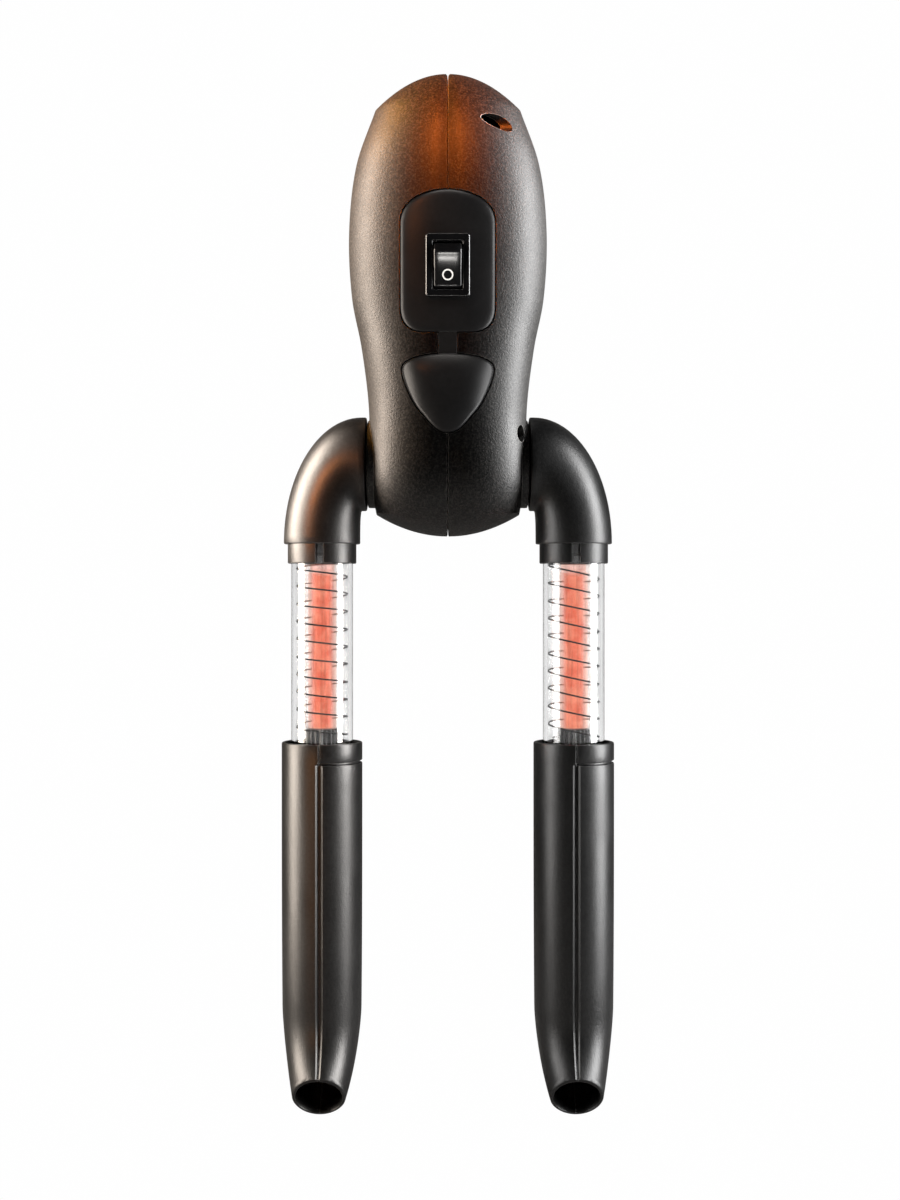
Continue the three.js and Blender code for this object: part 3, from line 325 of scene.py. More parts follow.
def half_form(name, side, inset_outer=0.0, inset_inner=WALL, columns=64):
    """Half of the housing's shell, from the front seam round the side to the rear one, its edge grooved."""
    seam, closed = 0.1 * MM, 0.01 * MM
    groove = [(0.7 * MM, seam + 0.06 * MM), (0.4 * MM, seam + 0.12 * MM), (0.0, seam + 0.46 * MM)]

    def row_points(inset, with_groove):
        outline = []
        rows_at = {depth: form_rows(inset + depth) for depth, _ in groove}
        base = rows_at[0.0]
        for r, (width, depth, z, power) in enumerate(base):
            points = []
            for c in range(columns + 1):
                angle = math.pi * (c / columns - 0.5)
                x = width * max(math.cos(angle), 0) ** (2 / power)
                y = depth * math.copysign(abs(math.sin(angle)) ** (2 / power), angle)
                step = min(c, columns - c)
                sink, least = groove[step] if step < len(groove) and with_groove else (0.0, closed)
                if sink:
                    w2, d2, z2, _ = rows_at[sink][r]
                    x, y = x * w2 / width, y * d2 / depth
                    points.append(Vector((side * max(x, least), y, z2)))
                else:
                    points.append(Vector((side * max(x, least), y, z)))
            outline.append(points)
        return outline

    outer, inner = row_points(inset_outer, True), row_points(inset_inner, False)
    tops = (FORM_TOP - inset_outer - 0.5 * MM, FORM_TOP - inset_inner)
    bottoms = (FORM_BOTTOM + inset_outer + 0.5 * MM, FORM_BOTTOM + inset_inner)
    rows, width = len(outer), columns + 1
    verts = [p for surface in (outer, inner) for points in surface for p in points]
    poles = len(verts)
    verts += [Vector((side * seam, 0, z)) for z in (bottoms[0], tops[0], bottoms[1], tops[1])]
    faces = []
    for surface in (0, 1):
        start = surface * rows * width
        for r in range(rows - 1):
            for c in range(columns):
                a = start + r * width + c
                faces.append((a, a + 1, a + width + 1, a + width))
        for c in range(columns):
            faces.append((poles + 2 * surface, start + c, start + c + 1))
            last = start + (rows - 1) * width + c
            faces.append((poles + 2 * surface + 1, last, last + 1))
    shift = rows * width
    for c in (0, columns):
        for r in range(rows - 1):
            a = r * width + c
            faces.append((a, a + width, a + width + shift, a + shift))
        faces.append((poles, c, c + shift, poles + 2))
        last = (rows - 1) * width + c
        faces.append((poles + 1, last, last + shift, poles + 3))
    return build(name, verts, faces)


def patch_solid(name, outline, centre, under, over, levels=14, rim=0.6 * MM):
    """A plate inside an outline: under(x, z) is its back and over(x, z, offset from the edge) its front."""
    reach = max(abs(x - centre[0]) for x, _ in outline)
    offsets = [0.0, 0.12 * rim, 0.4 * rim, rim]
    offsets += [rim + (reach * 0.985 - rim) * (i / levels) ** 1.2 for i in range(1, levels + 1)]

    def shrunk(offset):
        share = 1 - offset / reach
        mid_x, mid_z = centre
        return [(mid_x + (x - mid_x) * share, mid_z + (z - mid_z) * share) for x, z in outline]

    rings = [[Vector((x, under(x, z), z)) for x, z in shrunk(offset)] for offset in reversed(offsets)]
    rings += [[Vector((x, over(x, z, offset), z)) for x, z in shrunk(offset)] for offset in offsets]
    return loft(name, rings)


# ---------- materials ----------

def feed(tree, sockets, values):
    """Gives each socket its value or another node's output."""
    for socket, value in zip(sockets, values):
        if isinstance(value, bpy.types.NodeSocket):
            tree.links.new(value, socket)
        else:
            socket.default_value = value


def put(tree, kind, settings=None, **inputs):
    """Adds a shader node. Inputs are values or another node's output, and _ in a name stands for a space."""
    node = tree.nodes.new(kind)
    for key, value in (settings or {}).items():
        setattr(node, key, value)
    feed(tree, [node.inputs[key.replace("_", " ")] for key in inputs], inputs.values())
    return node


def reckon(tree, operation, a, b, clamp=False):
    """Result of a sum on two values."""
    node = put(tree, "ShaderNodeMath", {"operation": operation, "use_clamp": clamp})
    feed(tree, node.inputs, (a, b))
    return node.outputs[0]


def join_vectors(tree, operation, a, b):
    node = put(tree, "ShaderNodeVectorMath", {"operation": operation})
    feed(tree, node.inputs, (a, b))
    return node.outputs


def object_place(tree):
    return put(tree, "ShaderNodeTexCoord").outputs["Object"]


def facing_away(tree):
    """0 where a surface faces the viewer, towards 1 at its outline."""
    return put(tree, "ShaderNodeLayerWeight", Blend=0.5).outputs["Facing"]


def bump(tree, height, distance, strength=1.0, **inputs):
    inputs.update(Height=height, Distance=distance, Strength=strength)
    return put(tree, "ShaderNodeBump", **inputs).outputs[0]


def shader(name):
    surface = bpy.data.materials.new(name)
    surface.use_nodes = True
    surface.node_tree.nodes.clear()
    return surface, surface.node_tree


def finish_with(tree, closure):
    put(tree, "ShaderNodeOutputMaterial", Surface=closure)


def principled(tree, **inputs):
    return put(tree, "ShaderNodeBsdfPrincipled", **inputs).outputs[0]


def ramp(tree, value, low, high, start=0.0, end=1.0):
    """Maps a noise value between low and high to start and end, clamped."""
    return put(
        tree, "ShaderNodeMapRange", {"clamp": True},
        Value=value, From_Min=low, From_Max=high, To_Min=start, To_Max=end,
    ).outputs["Result"]


def mix_colour(tree, factor, a, b):
    node = put(tree, "ShaderNodeMix", {"data_type": "RGBA"})
    factor_socket, a_socket, b_socket = node.inputs[0], node.inputs[6], node.inputs[7]
    feed(tree, (factor_socket, a_socket, b_socket), (factor, a, b))
    return node.outputs[2]


def mix_shader(tree, factor, a, b):
    node = put(tree, "ShaderNodeMixShader")
    feed(tree, node.inputs, (factor, a, b))
    return node.outputs[0]


def noise(tree, coords, size, detail=2.0, rough=0.5):
    """Cloudy noise whose patches are about as wide as the size, in millimetres."""
    settings = {"Vector": coords, "Scale": 1 / (size * MM), "Detail": detail, "Roughness": rough}
    return put(tree, "ShaderNodeTexNoise", **settings).outputs["Fac"]


def bevelled_highlight(tree, radius):
    """A normal rounded over edges, and 1 on edges that get a painted highlight, 0 elsewhere."""
    rounded = put(tree, "ShaderNodeBevel", {"samples": 6}, Radius=radius * MM).outputs[0]
    flat = put(tree, "ShaderNodeNewGeometry").outputs["Normal"]
    alike = join_vectors(tree, "DOT_PRODUCT", rounded, flat)["Value"]
    return rounded, ramp(tree, alike, 0.97, 0.8)


def moulded(
    name, dark, light, rough, grain, depth, speckle=0.5, edge=0.25, coat=0.0, highlight_grey=0.1, shine=0.5,
):
    """Moulded plastic: two colours in its grain, and a grey highlight painted along its edges. Grain, depth
    and edge are in millimetres.
    """
    surface, tree = shader(name)
    coords = object_place(tree)
    fine = noise(tree, coords, grain, 2.0, 0.55)
    coarse = noise(tree, coords, grain * 2.6, 2.0, 0.6)
    cloud = noise(tree, coords, 22, 3.0, 0.55)
    pits = reckon(tree, "ADD", fine, coarse)
    speckled = reckon(tree, "MULTIPLY", ramp(tree, pits, 0.78, 1.22), speckle)
    colour = mix_colour(tree, speckled, (*dark, 1), (*light, 1))
    rounded, highlight_share = bevelled_highlight(tree, edge)
    # Edges are mixed towards a pale grey: a painted edge highlight.
    finish_with(tree, principled(
        tree,
        Base_Color=mix_colour(tree, highlight_share, colour, (highlight_grey, highlight_grey, highlight_grey, 1)),
        Roughness=ramp(tree, cloud, 0.3, 0.7, rough - 0.05, rough + 0.06),
        Specular_IOR_Level=shine, Coat_Weight=coat, Coat_Roughness=0.2,
        Normal=bump(tree, pits, depth * MM, Normal=rounded),
    ))
    return surface


def spark_shell():
    """Charcoal plastic with a spark-eroded texture: pale sparse grains on a dark ground."""
    surface, tree = shader("spark_textured_shell")
    coords = object_place(tree)
    fine = noise(tree, coords, 0.42, 2.0, 0.55)
    coarse = noise(tree, coords, 0.75)
    cloud = noise(tree, coords, 18)
    both = reckon(tree, "ADD", fine, coarse)
    grains = ramp(tree, both, 0.9, 1.28)
    colour = mix_colour(tree, grains, (0.0025, 0.0024, 0.0022, 1), (0.06, 0.056, 0.052, 1))
    rounded, highlight_share = bevelled_highlight(tree, 0.3)
    # Edges are mixed towards a pale grey: a painted highlight along the seams and other edges.
    finish_with(tree, principled(
        tree,
        Base_Color=mix_colour(tree, highlight_share, colour, (0.6, 0.57, 0.54, 1)),
        Roughness=ramp(tree, cloud, 0.3, 0.7, 0.46, 0.54), IOR=1.5,
        Normal=bump(tree, both, 0.08 * MM, Normal=rounded),
    ))
    return surface


def metal(name, colour, rough, grain):
    """Bare metal with drawn streaks and tarnish. The grain is in millimetres."""
    surface, tree = shader(name)
    coords = object_place(tree)
    stretched = put(tree, "ShaderNodeMapping", Vector=coords, Scale=(1.0, 1.0, 0.12)).outputs[0]
    streaks = noise(tree, stretched, grain, 3.0, 0.6)
    tarnish = ramp(tree, noise(tree, coords, 3, 3.0, 0.6), 0.4, 0.7)
    tarnished = [value * 0.6 for value in colour]
    finish_with(tree, principled(
        tree,
        Base_Color=mix_colour(tree, tarnish, (*colour, 1), (*tarnished, 1)), Metallic=1.0,
        Roughness=ramp(tree, streaks, 0.3, 0.7, rough - 0.08, rough + 0.12),
        Normal=bump(tree, streaks, 0.01 * MM, 0.5),
    ))
    return surface


def clear_plastic():
    """Clear tube wall: refracts like polycarbonate, with grey bands along it, partly drawing marks and partly
    painted reflections, and painted shade towards its outline.
    """
    surface, tree = shader("clear_polycarbonate")
    coords = put(tree, "ShaderNodeTexCoord").outputs
    along = put(tree, "ShaderNodeMapping", Vector=coords["Object"], Scale=(0.0, 0.0, 22.0))
    around = put(tree, "ShaderNodeMapping", Vector=coords["Normal"], Scale=(3.4, 3.4, 0.0))
    place = join_vectors(tree, "ADD", along.outputs[0], around.outputs[0])["Vector"]
    band_noise = {"Vector": place, "Scale": 1.6, "Detail": 3.0, "Roughness": 0.55}
    bands = put(tree, "ShaderNodeTexNoise", **band_noise).outputs["Fac"]
    # Painted reflections and shade: grey bands along the tube, and more grey towards its outline.
    painted_grey_bands = ramp(tree, bands, 0.42, 0.56, 0.84, 1.0)
    painted_outline_shade = ramp(tree, facing_away(tree), 0.4, 0.95, 1.0, 0.75)
    painted_tint = reckon(tree, "MULTIPLY", painted_grey_bands, painted_outline_shade)
    finish_with(tree, principled(
        tree,
        Base_Color=mix_colour(tree, painted_tint, (0.0, 0.0, 0.0, 1), (0.985, 0.985, 0.985, 1)),
        Transmission_Weight=1.0, IOR=1.5, Roughness=ramp(tree, bands, 0.4, 0.75, 0.01, 0.04),
        Normal=bump(tree, bands, 0.05 * MM, 0.4),
    ))
    return surface


def thinning(tree, body, tint, clearness):
    """A body that is clear where clearness is 1, and on its far side, so that its edges fade softly."""
    clear = put(tree, "ShaderNodeBsdfTransparent", Color=tint).outputs[0]
    behind = put(tree, "ShaderNodeNewGeometry").outputs["Backfacing"]
    return mix_shader(tree, reckon(tree, "MAXIMUM", clearness, behind), body, clear)


def glowing():
    """Heater rod: a mottled orange-red core with a painted glow, which thins out towards its edges and its
    top end.
    """
    surface, tree = shader("glowing_rod")
    coords = object_place(tree)
    mottle = noise(tree, coords, 5, 3.0, 0.6)
    glow_mottle = ramp(tree, mottle, 0.38, 0.66)
    # The emission is a painted glow: the rod is no lamp.
    core = principled(
        tree, Base_Color=(0.2, 0.03, 0.01, 1), Roughness=0.6, Normal=bump(tree, mottle, 0.05 * MM, 0.4),
        Emission_Color=mix_colour(tree, glow_mottle, (0.72, 0.115, 0.05, 1), (0.86, 0.27, 0.16, 1)),
        Emission_Strength=0.88,
    )
    height = put(tree, "ShaderNodeSeparateXYZ", Vector=coords).outputs["Z"]
    top = SWIVEL_Z + COLLAR_END
    glow_fade_top = ramp(tree, height, top - 4.5 * MM, top - 1.5 * MM, 0.0, 0.75)
    outline = ramp(tree, facing_away(tree), 0.12, 0.62)
    clearness = reckon(tree, "MAXIMUM", outline, glow_fade_top)
    finish_with(tree, thinning(tree, core, (1.0, 0.86, 0.82, 1), clearness))
    return surface


def glow_veil_material():
    """Painted glow round the heater rod: a milky, emitting veil that stands in for the rod's light."""
    surface, tree = shader("hazy_quartz")
    mist = noise(tree, object_place(tree), 6)
    facing = facing_away(tree)
    # The veil's emission is painted glow from the rod's light, not a lamp.
    painted_emission = put(tree, "ShaderNodeEmission", Color=(0.98, 0.6, 0.47, 1), Strength=0.95).outputs[0]
    inner = ramp(tree, facing, 0.05, 0.32, 1.0, 0.62)
    cleared = reckon(tree, "ADD", inner, ramp(tree, mist, 0.35, 0.65, 0.0, 0.12))
    clearness = reckon(tree, "MAXIMUM", cleared, ramp(tree, facing, 0.4, 0.95), clamp=True)
    finish_with(tree, thinning(tree, painted_emission, (1, 1, 1, 1), clearness))
    return surface


def direct_view(tree):
    """1 where the camera sees a surface directly or through the clear tubes, else 0."""
    path = put(tree, "ShaderNodeLightPath").outputs
    return reckon(tree, "MAXIMUM", path["Is Camera Ray"], path["Is Transmission Ray"])


def stage_surface():
    """Pale paper that the camera sees overlit to white, and that lights the dryer only a little."""
    surface, tree = shader("pale_paper")
    fibre = noise(tree, object_place(tree), 1.5, 3.0, 0.6)
    colour = mix_colour(tree, fibre, (0.3, 0.3, 0.3, 1), (0.32, 0.32, 0.32, 1))
    paper = principled(tree, Base_Color=colour, Roughness=0.9)
    glare = mix_colour(tree, fibre, (0.99, 0.99, 0.99, 1), (1, 1, 1, 1))
    white = put(tree, "ShaderNodeEmission", Color=glare, Strength=1.0).outputs[0]
    finish_with(tree, mix_shader(tree, direct_view(tree), paper, white))
    return surface


def paint():
    """White print, slightly uneven."""
    surface, tree = shader("white_print")
    uneven = noise(tree, object_place(tree), 0.25)
    colour = mix_colour(tree, uneven, (0.62, 0.62, 0.6, 1), (0.85, 0.85, 0.83, 1))
    finish_with(tree, principled(tree, Base_Color=colour, Roughness=0.45))
    return surface


# Moulded ones: name, dark and light colour, roughness, then grain and depth in millimetres
SURFACES = {
    "textured_shell": spark_shell(),
    "satin_trim": moulded(
        "satin_black_trim", (0.004, 0.004, 0.0042), (0.009, 0.009, 0.0095), 0.34, 0.5, 0.004,
        speckle=0.4, edge=0.22, highlight_grey=0.09, shine=0.3,
    ),
    "switch_plastic": moulded(
        "gloss_black_switch", (0.003, 0.003, 0.0034), (0.006, 0.006, 0.0065), 0.22, 0.4, 0.002,
        speckle=0.3, edge=0.2, coat=0.1, highlight_grey=0.4,
    ),
    "arm_plastic": moulded(
        "matte_black_arm", (0.0012, 0.0012, 0.0012), (0.013, 0.013, 0.013), 0.37, 0.4, 0.038,
        speckle=0.6, edge=0.2, highlight_grey=0.2,
    ),
    "fan_plastic": moulded(
        "plain_black_moulding", (0.02, 0.02, 0.021), (0.04, 0.04, 0.042), 0.5, 0.3, 0.01, edge=0.2,
    ),
    "foot_rubber": moulded(
        "soft_black_rubber", (0.012, 0.012, 0.012), (0.03, 0.03, 0.03), 0.8, 0.25, 0.03, edge=0.4,
    ),
    "ceramic": moulded(
        "dark_ceramic", (0.02, 0.019, 0.018), (0.05, 0.047, 0.045), 0.7, 0.35, 0.02, edge=0.2,
    ),
    "board": moulded("green_board", (0.02, 0.12, 0.06), (0.03, 0.17, 0.08), 0.35, 1.2, 0.02, edge=0.1),
    "lead_insulation": moulded(
        "silicone_lead", (0.3, 0.05, 0.03), (0.38, 0.08, 0.05), 0.5, 0.3, 0.01, edge=0.1,
    ),
    "coil_wire": moulded(
        "oxidised_wire", (0.006, 0.005, 0.0045), (0.016, 0.013, 0.011), 0.6, 0.15, 0.01,
        edge=0.05, shine=0.2,
    ),
    "screw_steel": metal("blackened_steel", (0.13, 0.13, 0.135), 0.35, 0.2),
    "terminal_brass": metal("terminal_brass", (0.69, 0.5, 0.22), 0.3, 0.3),
    "heater_aluminium": metal("plain_aluminium", (0.72, 0.73, 0.75), 0.4, 0.4),
    "clear_plastic": clear_plastic(),
    "glowing_rod": glowing(),
}
ROD_GLOW_VEIL = glow_veil_material()


def add_to(obj, body, slot, surface=None):
    """Lifts a finished piece to its height, puts it on a body and gives it a surface: the given one, else its
    slot's.
    """
    obj.data.transform(Matrix.Translation(LIFT))
    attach(obj, body)
    obj.data.materials.clear()
    obj.data.materials.append(surface or SURFACES[slot])
    return obj


def stand_for(obj, node):
    """obj replaces a CAD node: it rides on its body and takes the surface of the node's slot."""
    add_to(obj, frame["nodes"][node]["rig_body"], SLOT_OF[node])
    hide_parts(node)
    return obj


# ---------- front trim and switch ----------

trim_low, trim_high = span("front_trim")
bezel_low, bezel_high = span("switch_bezel")
SWITCH_Z = middle("switch_bezel")[2]
BEZEL_HALF_W, BEZEL_HALF_H = (bezel_high.x - bezel_low.x) / 2, (bezel_high.z - bezel_low.z) / 2
PANEL = {"w": trim_high.x, "bottom": 39.5 * MM, "top": trim_high.z}
PAD = {"w": 14.6 * MM, "tip": trim_low.z, "top": 32.7 * MM}
NECK_HALF = 2.85 * MM


def panel_outline(grow=0.0):
    w, bottom, top = PANEL["w"] + grow, PANEL["bottom"] - grow, PANEL["top"] + grow
    s = MM
    shoulder, heel = (w - 8 * s, top - 1.2 * s), (w - 8 * s, bottom)
    side_top, side_bottom = (w, top - 10.5 * s), (w, bottom + 8 * s)
    half = bezier((0, top), (w * 0.17, top), (w * 0.35, top - 0.6 * s), shoulder, 8)
    half += bezier(shoulder, (w - 4 * s, top - 2.4 * s), (w, top - 5 * s), side_top, 14)
    half += straight(side_top, side_bottom, 14)
    half += bezier(side_bottom, (w, bottom + 3 * s), (w - 3 * s, bottom), heel, 14)
    half += straight(heel, (0, bottom), 5) + [(0, bottom)]
    return mirrored(half)


def pad_outline(grow=0.0):
    w, tip, top = PAD["w"] + grow, PAD["tip"] - grow, PAD["top"] + grow
    s = MM
    shoulder, widest, flank = (w * 0.7, top - 1.2 * s), (w, top - 5 * s), (w * 0.6, tip + 6.7 * s)
    half = bezier((0, top), (w * 0.2, top), (w * 0.45, top - 0.2 * s), shoulder, 10)
    half += bezier(shoulder, (w * 0.86, top - 1.9 * s), (w, top - 2.8 * s), widest, 10)
    half += bezier(widest, (w, tip + 17.5 * s), (w * 0.8, tip + 10 * s), flank, 16)
    half += bezier(flank, (w * 0.4, tip + 3.6 * s), (w * 0.28, tip), (0, tip), 12)
    return mirrored(half + [(0, tip)])


def neck_outline(grow=0.0):
    w = NECK_HALF + grow
    low, high = PAD["top"] - 3 * MM, PANEL["bottom"] + 3 * MM
    return [(w, high), (w, low), (-w, low), (-w, high)]


PANEL_CENTRE = (0.0, (PANEL["bottom"] + PANEL["top"]) / 2)
PAD_CENTRE = (0.0, PAD["top"] - 10 * MM)
NECK_CENTRE = (0.0, (PAD["top"] + PANEL["bottom"]) / 2)


def trim_recess():
    """Cutter for the seat of the trim in the housing's front."""
    floor = TRIM_DEPTH + GAP
    front = -45 * MM

    def cutter(name, outline, centre):
        return patch_solid(
            name, outline, centre,
            lambda x, z: front_y(x, z, floor),
            lambda x, z, offset: front, levels=6,
        )

    tool = cutter("cut_panel", panel_outline(GAP), PANEL_CENTRE)
    boolean(tool, cutter("cut_neck", neck_outline(GAP), NECK_CENTRE), "UNION")
    boolean(tool, cutter("cut_pad", pad_outline(GAP), PAD_CENTRE), "UNION")
    return tool


def fillet(offset, width, depth):
    """How far a rounded rim lies below the plate's level at a distance from its edge."""
    share = max(1 - offset / width, 0)
    return depth * (1 - math.sqrt(1 - share ** 2))


def switch_opening():
    """Cutter for the hole that the switch's case goes through."""
    half_w, half_h = 6.3 * MM, 9.5 * MM
    low = (-half_w, -40 * MM, SWITCH_Z - half_h)
    return block("opening", low, (half_w, -20 * MM, SWITCH_Z + half_h))


def make_trim():
    """Switch panel, neck and raised pad in one piece."""
    def under(x, z):
        return front_y(x, z, TRIM_DEPTH)

    def panel_face(x, z, offset):
        return front_y(x, z, fillet(offset, 1.5 * MM, 0.5 * MM) - 0.2 * MM)

    def neck_face(x, z, offset):
        return front_y(x, z, 0.45 * MM)

    def pad_face(x, z, offset):
        crown = 1 - (1 - min(offset / (10 * MM), 1)) ** 2
        return front_y(x, z, fillet(offset, 0.6 * MM, 0.6 * MM) - 0.4 * MM - 1.6 * MM * crown)

    trim = patch_solid("front_trim_fine", panel_outline(), PANEL_CENTRE, under, panel_face)
    neck = patch_solid("neck", neck_outline(), NECK_CENTRE, under, neck_face, levels=4)
    pad = patch_solid("pad", pad_outline(), PAD_CENTRE, under, pad_face, levels=20, rim=0.9 * MM)
    boolean(trim, neck, "UNION")
    boolean(trim, pad, "UNION")
    play = 0.12 * MM
    rim = rounded_loop(BEZEL_HALF_W + play, BEZEL_HALF_H + play, 1.1 * MM, centre=(0, SWITCH_Z))
    boolean(trim, loft("seat", [at_depth(rim, bezel_low.y + y * MM) for y in (-8, 1.9)]))
    boolean(trim, switch_opening())
    tidy(trim)
    return stand_for(trim, "front_trim")


WINDOW_HALF = (4.6 * MM, 7.5 * MM)
ROCKER_PIVOT_Y = JOINT_AT["switch_toggle"][1]
MARK_HEIGHT = -3.2


def make_bezel():
    """Flange, window frame and case in one skin, from the case's back round the flange into the window."""
    half_w, half_h = BEZEL_HALF_W, BEZEL_HALF_H
    front, back = bezel_low.y, bezel_high.y
    flange_back = front + 2 * MM
    window_w, window_h = WINDOW_HALF

    def ring(w, h, radius, y):
        return at_depth(rounded_loop(w, h, radius, centre=(0, SWITCH_Z)), y)

    rings = [
        ring(6 * MM, 9.2 * MM, 0.4 * MM, back),
        ring(6 * MM, 9.2 * MM, 0.4 * MM, flange_back),
        ring(half_w, half_h, 1.0 * MM, flange_back),
        ring(half_w, half_h, 1.0 * MM, front + 0.55 * MM),
        ring(half_w - 0.08 * MM, half_h - 0.08 * MM, 0.95 * MM, front + 0.25 * MM),
        ring(half_w - 0.3 * MM, half_h - 0.3 * MM, 0.85 * MM, front),
        ring(window_w + 1.0 * MM, window_h + 1.0 * MM, 0.8 * MM, front + 0.25 * MM),
        ring(window_w + 0.3 * MM, window_h + 0.3 * MM, 0.5 * MM, front + 0.35 * MM),
        ring(window_w, window_h, 0.35 * MM, front + 0.7 * MM),
        ring(window_w, window_h, 0.35 * MM, front + 7.4 * MM),
    ]
    return stand_for(loft("switch_bezel_fine", rings, sharp=30), "switch_bezel")


def rocker_profile():
    """Side view of the rocker as (height above the pivot, distance out of the switch), in millimetres."""
    below = -3.6
    end = math.sqrt(7.1 ** 2 - below ** 2)
    corners = [
        ((-end, below), (-7.3, -1.8), (-7.5, 0.4), (-6.85, 1.75)),
        ((-6.85, 1.75), (-6.7, 2.05), (-6.5, 2.12), (-6.2, 2.12)),
        ((-6.2, 2.12), (-3.0, 2.15), (0.6, 2.75), (2.9, 3.85)),
        ((2.9, 3.85), (3.6, 4.2), (4.3, 4.25), (4.8, 3.8)),
        ((4.8, 3.8), (5.3, 3.3), (6.1, 2.9), (6.5, 2.5)),
        ((6.5, 2.5), (7.4, 0.4), (7.3, -1.8), (end, below)),
    ]
    points = []
    for corner, steps in zip(corners, (6, 4, 14, 6, 5, 6)):
        points += bezier(*corner, steps)
    return points + [(end, below)]


def rocker_face(profile, height):
    """How far the rocker's face stands out at a height above its pivot."""
    for (u0, v0), (u1, v1) in zip(profile, profile[1:]):
        if u0 <= height <= u1 and v0 > 1:
            return v0 + (v1 - v0) * (height - u0) / (u1 - u0)
    return 0.0


def make_rocker():
    """Rocker with softened side edges, and its printed ring, which follows the face."""
    half = 4.3 * MM
    profile = rocker_profile()

    def place(x, u, v):
        return Vector((x, ROCKER_PIVOT_Y - v * MM, SWITCH_Z + u * MM))

    def section(x, shrink):
        return [place(x, u * (1 - shrink / 7.0), v - (shrink if v > 0 else 0)) for u, v in profile]

    edge = [(-half, 0.35), (-half + 0.1 * MM, 0.14), (-half + 0.35 * MM, 0.0)]
    stations = edge + [(share * half, 0.0) for share in (-0.5, 0, 0.5)] + [(-x, s) for x, s in reversed(edge)]
    rocker = loft("switch_rocker_fine", [section(x, shrink) for x, shrink in stations], sharp=40)
    stand_for(rocker, "switch_rocker")

    def printed(radius, height):
        ring = []
        for i in range(48):
            a = 2 * math.pi * i / 48
            u = MARK_HEIGHT + radius * math.sin(a)
            ring.append(place(radius * math.cos(a) * MM, u, rocker_face(profile, u) + height))
        return ring

    mark = loft("switch_off_mark", [
        printed(1.74, -0.05), printed(1.74, 0.04), printed(1.3, 0.04), printed(1.3, -0.05),
    ], looped=True)
    add_to(mark, "rocker", "switch_plastic", paint())


# ---------- housing ----------

BOSS_RADIUS = 14.5 * MM
BOSS_FACE = 26.4 * MM
BOSS_BACK = 21.7 * MM
SPIGOT_RADIUS = 10.5 * MM
SCREWS = ("case_screw_1", "case_screw_2", "case_screw_3", "case_screw_4")
RECESS_RADIUS = 2.8 * MM


def rear_cutters():
    """Cutters for the seats of the grille, the inlet and the feet."""
    beyond = 45 * MM
    low, high = span("intake_grille")
    centre = (0.0, middle("intake_grille")[2])
    outline = rounded_loop(high.x + GAP, (high.z - low.z) / 2 + GAP, 4 * MM, centre=centre)
    seat = patch_solid(
        "grille_seat", outline, centre,
        lambda x, z: back_y(x, z, TRIM_DEPTH + GAP), lambda x, z, offset: beyond, levels=4,
    )
    air_low, air_high = (-11.5 * MM, 20 * MM, low.z + 3 * MM), (11.5 * MM, beyond, high.z - 3 * MM)
    tools = [seat, block("air", air_low, air_high)]
    for node, radius in (("power_inlet", 2.2), ("rear_foot_lower", 3.2), ("rear_foot_upper", 3.2)):
        low, high = span(node)
        depth = 26.9 * MM if node == "power_inlet" else low.y - GAP
        half_h = (high.z - low.z) / 2
        loop = rounded_loop(high.x + GAP, half_h + GAP, radius * MM, centre=(0, middle(node)[2]))
        tools.append(loft(f"seat_{node}", [at_depth(loop, y) for y in (depth, beyond)]))
    return tools


def make_shell(side):
    """Half shell with its swivel boss and the openings; the right one has the screws' recesses too."""
    label = "left" if side < 0 else "right"
    shell = half_form(f"{label}_shell_fine", side)
    boss = loft("boss", [
        across(side * x, radius, 96) for x, radius in (
            (BOSS_BACK - 1 * MM, BOSS_RADIUS), (BOSS_FACE - 0.5 * MM, BOSS_RADIUS),
            (BOSS_FACE - 0.15 * MM, BOSS_RADIUS - 0.12 * MM), (BOSS_FACE, BOSS_RADIUS - 0.5 * MM),
        )
    ])
    boolean(shell, boss, "UNION")
    bore = loft("bore", [across(side * x, SPIGOT_RADIUS + GAP, 64) for x in (10 * MM, 40 * MM)])
    boolean(shell, bore)
    for tool in (trim_recess(), switch_opening(), *rear_cutters()):
        boolean(shell, tool)
    if side > 0:
        for node in SCREWS:
            _, y, z = middle(node)
            floor = span(node)[1].x - 2.3 * MM
            post = loft("post", [across(x, 3.3 * MM, 32, y, z) for x in (floor - 2 * MM, floor)])
            boolean(shell, post, "UNION")
            recess = loft("recess", [across(x, RECESS_RADIUS, 48, y, z) for x in (floor, 60 * MM)])
            boolean(shell, recess)
    tidy(shell)
    return stand_for(shell, f"{label}_shell")


def make_screw(node):
    """Pan head with a cross recess on a plain shank."""
    low, high = span(node)
    _, y, z = middle(node)
    radius, top = (high.z - low.z) / 2, high.x
    profile = [
        (low.x, 1.1 * MM), (top - 2 * MM, 1.15 * MM), (top - 2 * MM, radius), (top - 0.9 * MM, radius),
        (top - 0.4 * MM, radius * 0.93), (top - 0.1 * MM, radius * 0.75), (top, radius * 0.45),
    ]
    screw = loft(f"{node}_fine", [across(x, r, 32, y, z) for x, r in profile])
    for wide, high_part in ((1.5 * MM, 0.32 * MM), (0.32 * MM, 1.5 * MM)):
        arm_low = (top - 1.1 * MM, y - wide, z - high_part)
        boolean(screw, block("arm", arm_low, (top + 1 * MM, y + wide, z + high_part)))
    tidy(screw)
    return stand_for(screw, node)


# ---------- rear pieces ----------

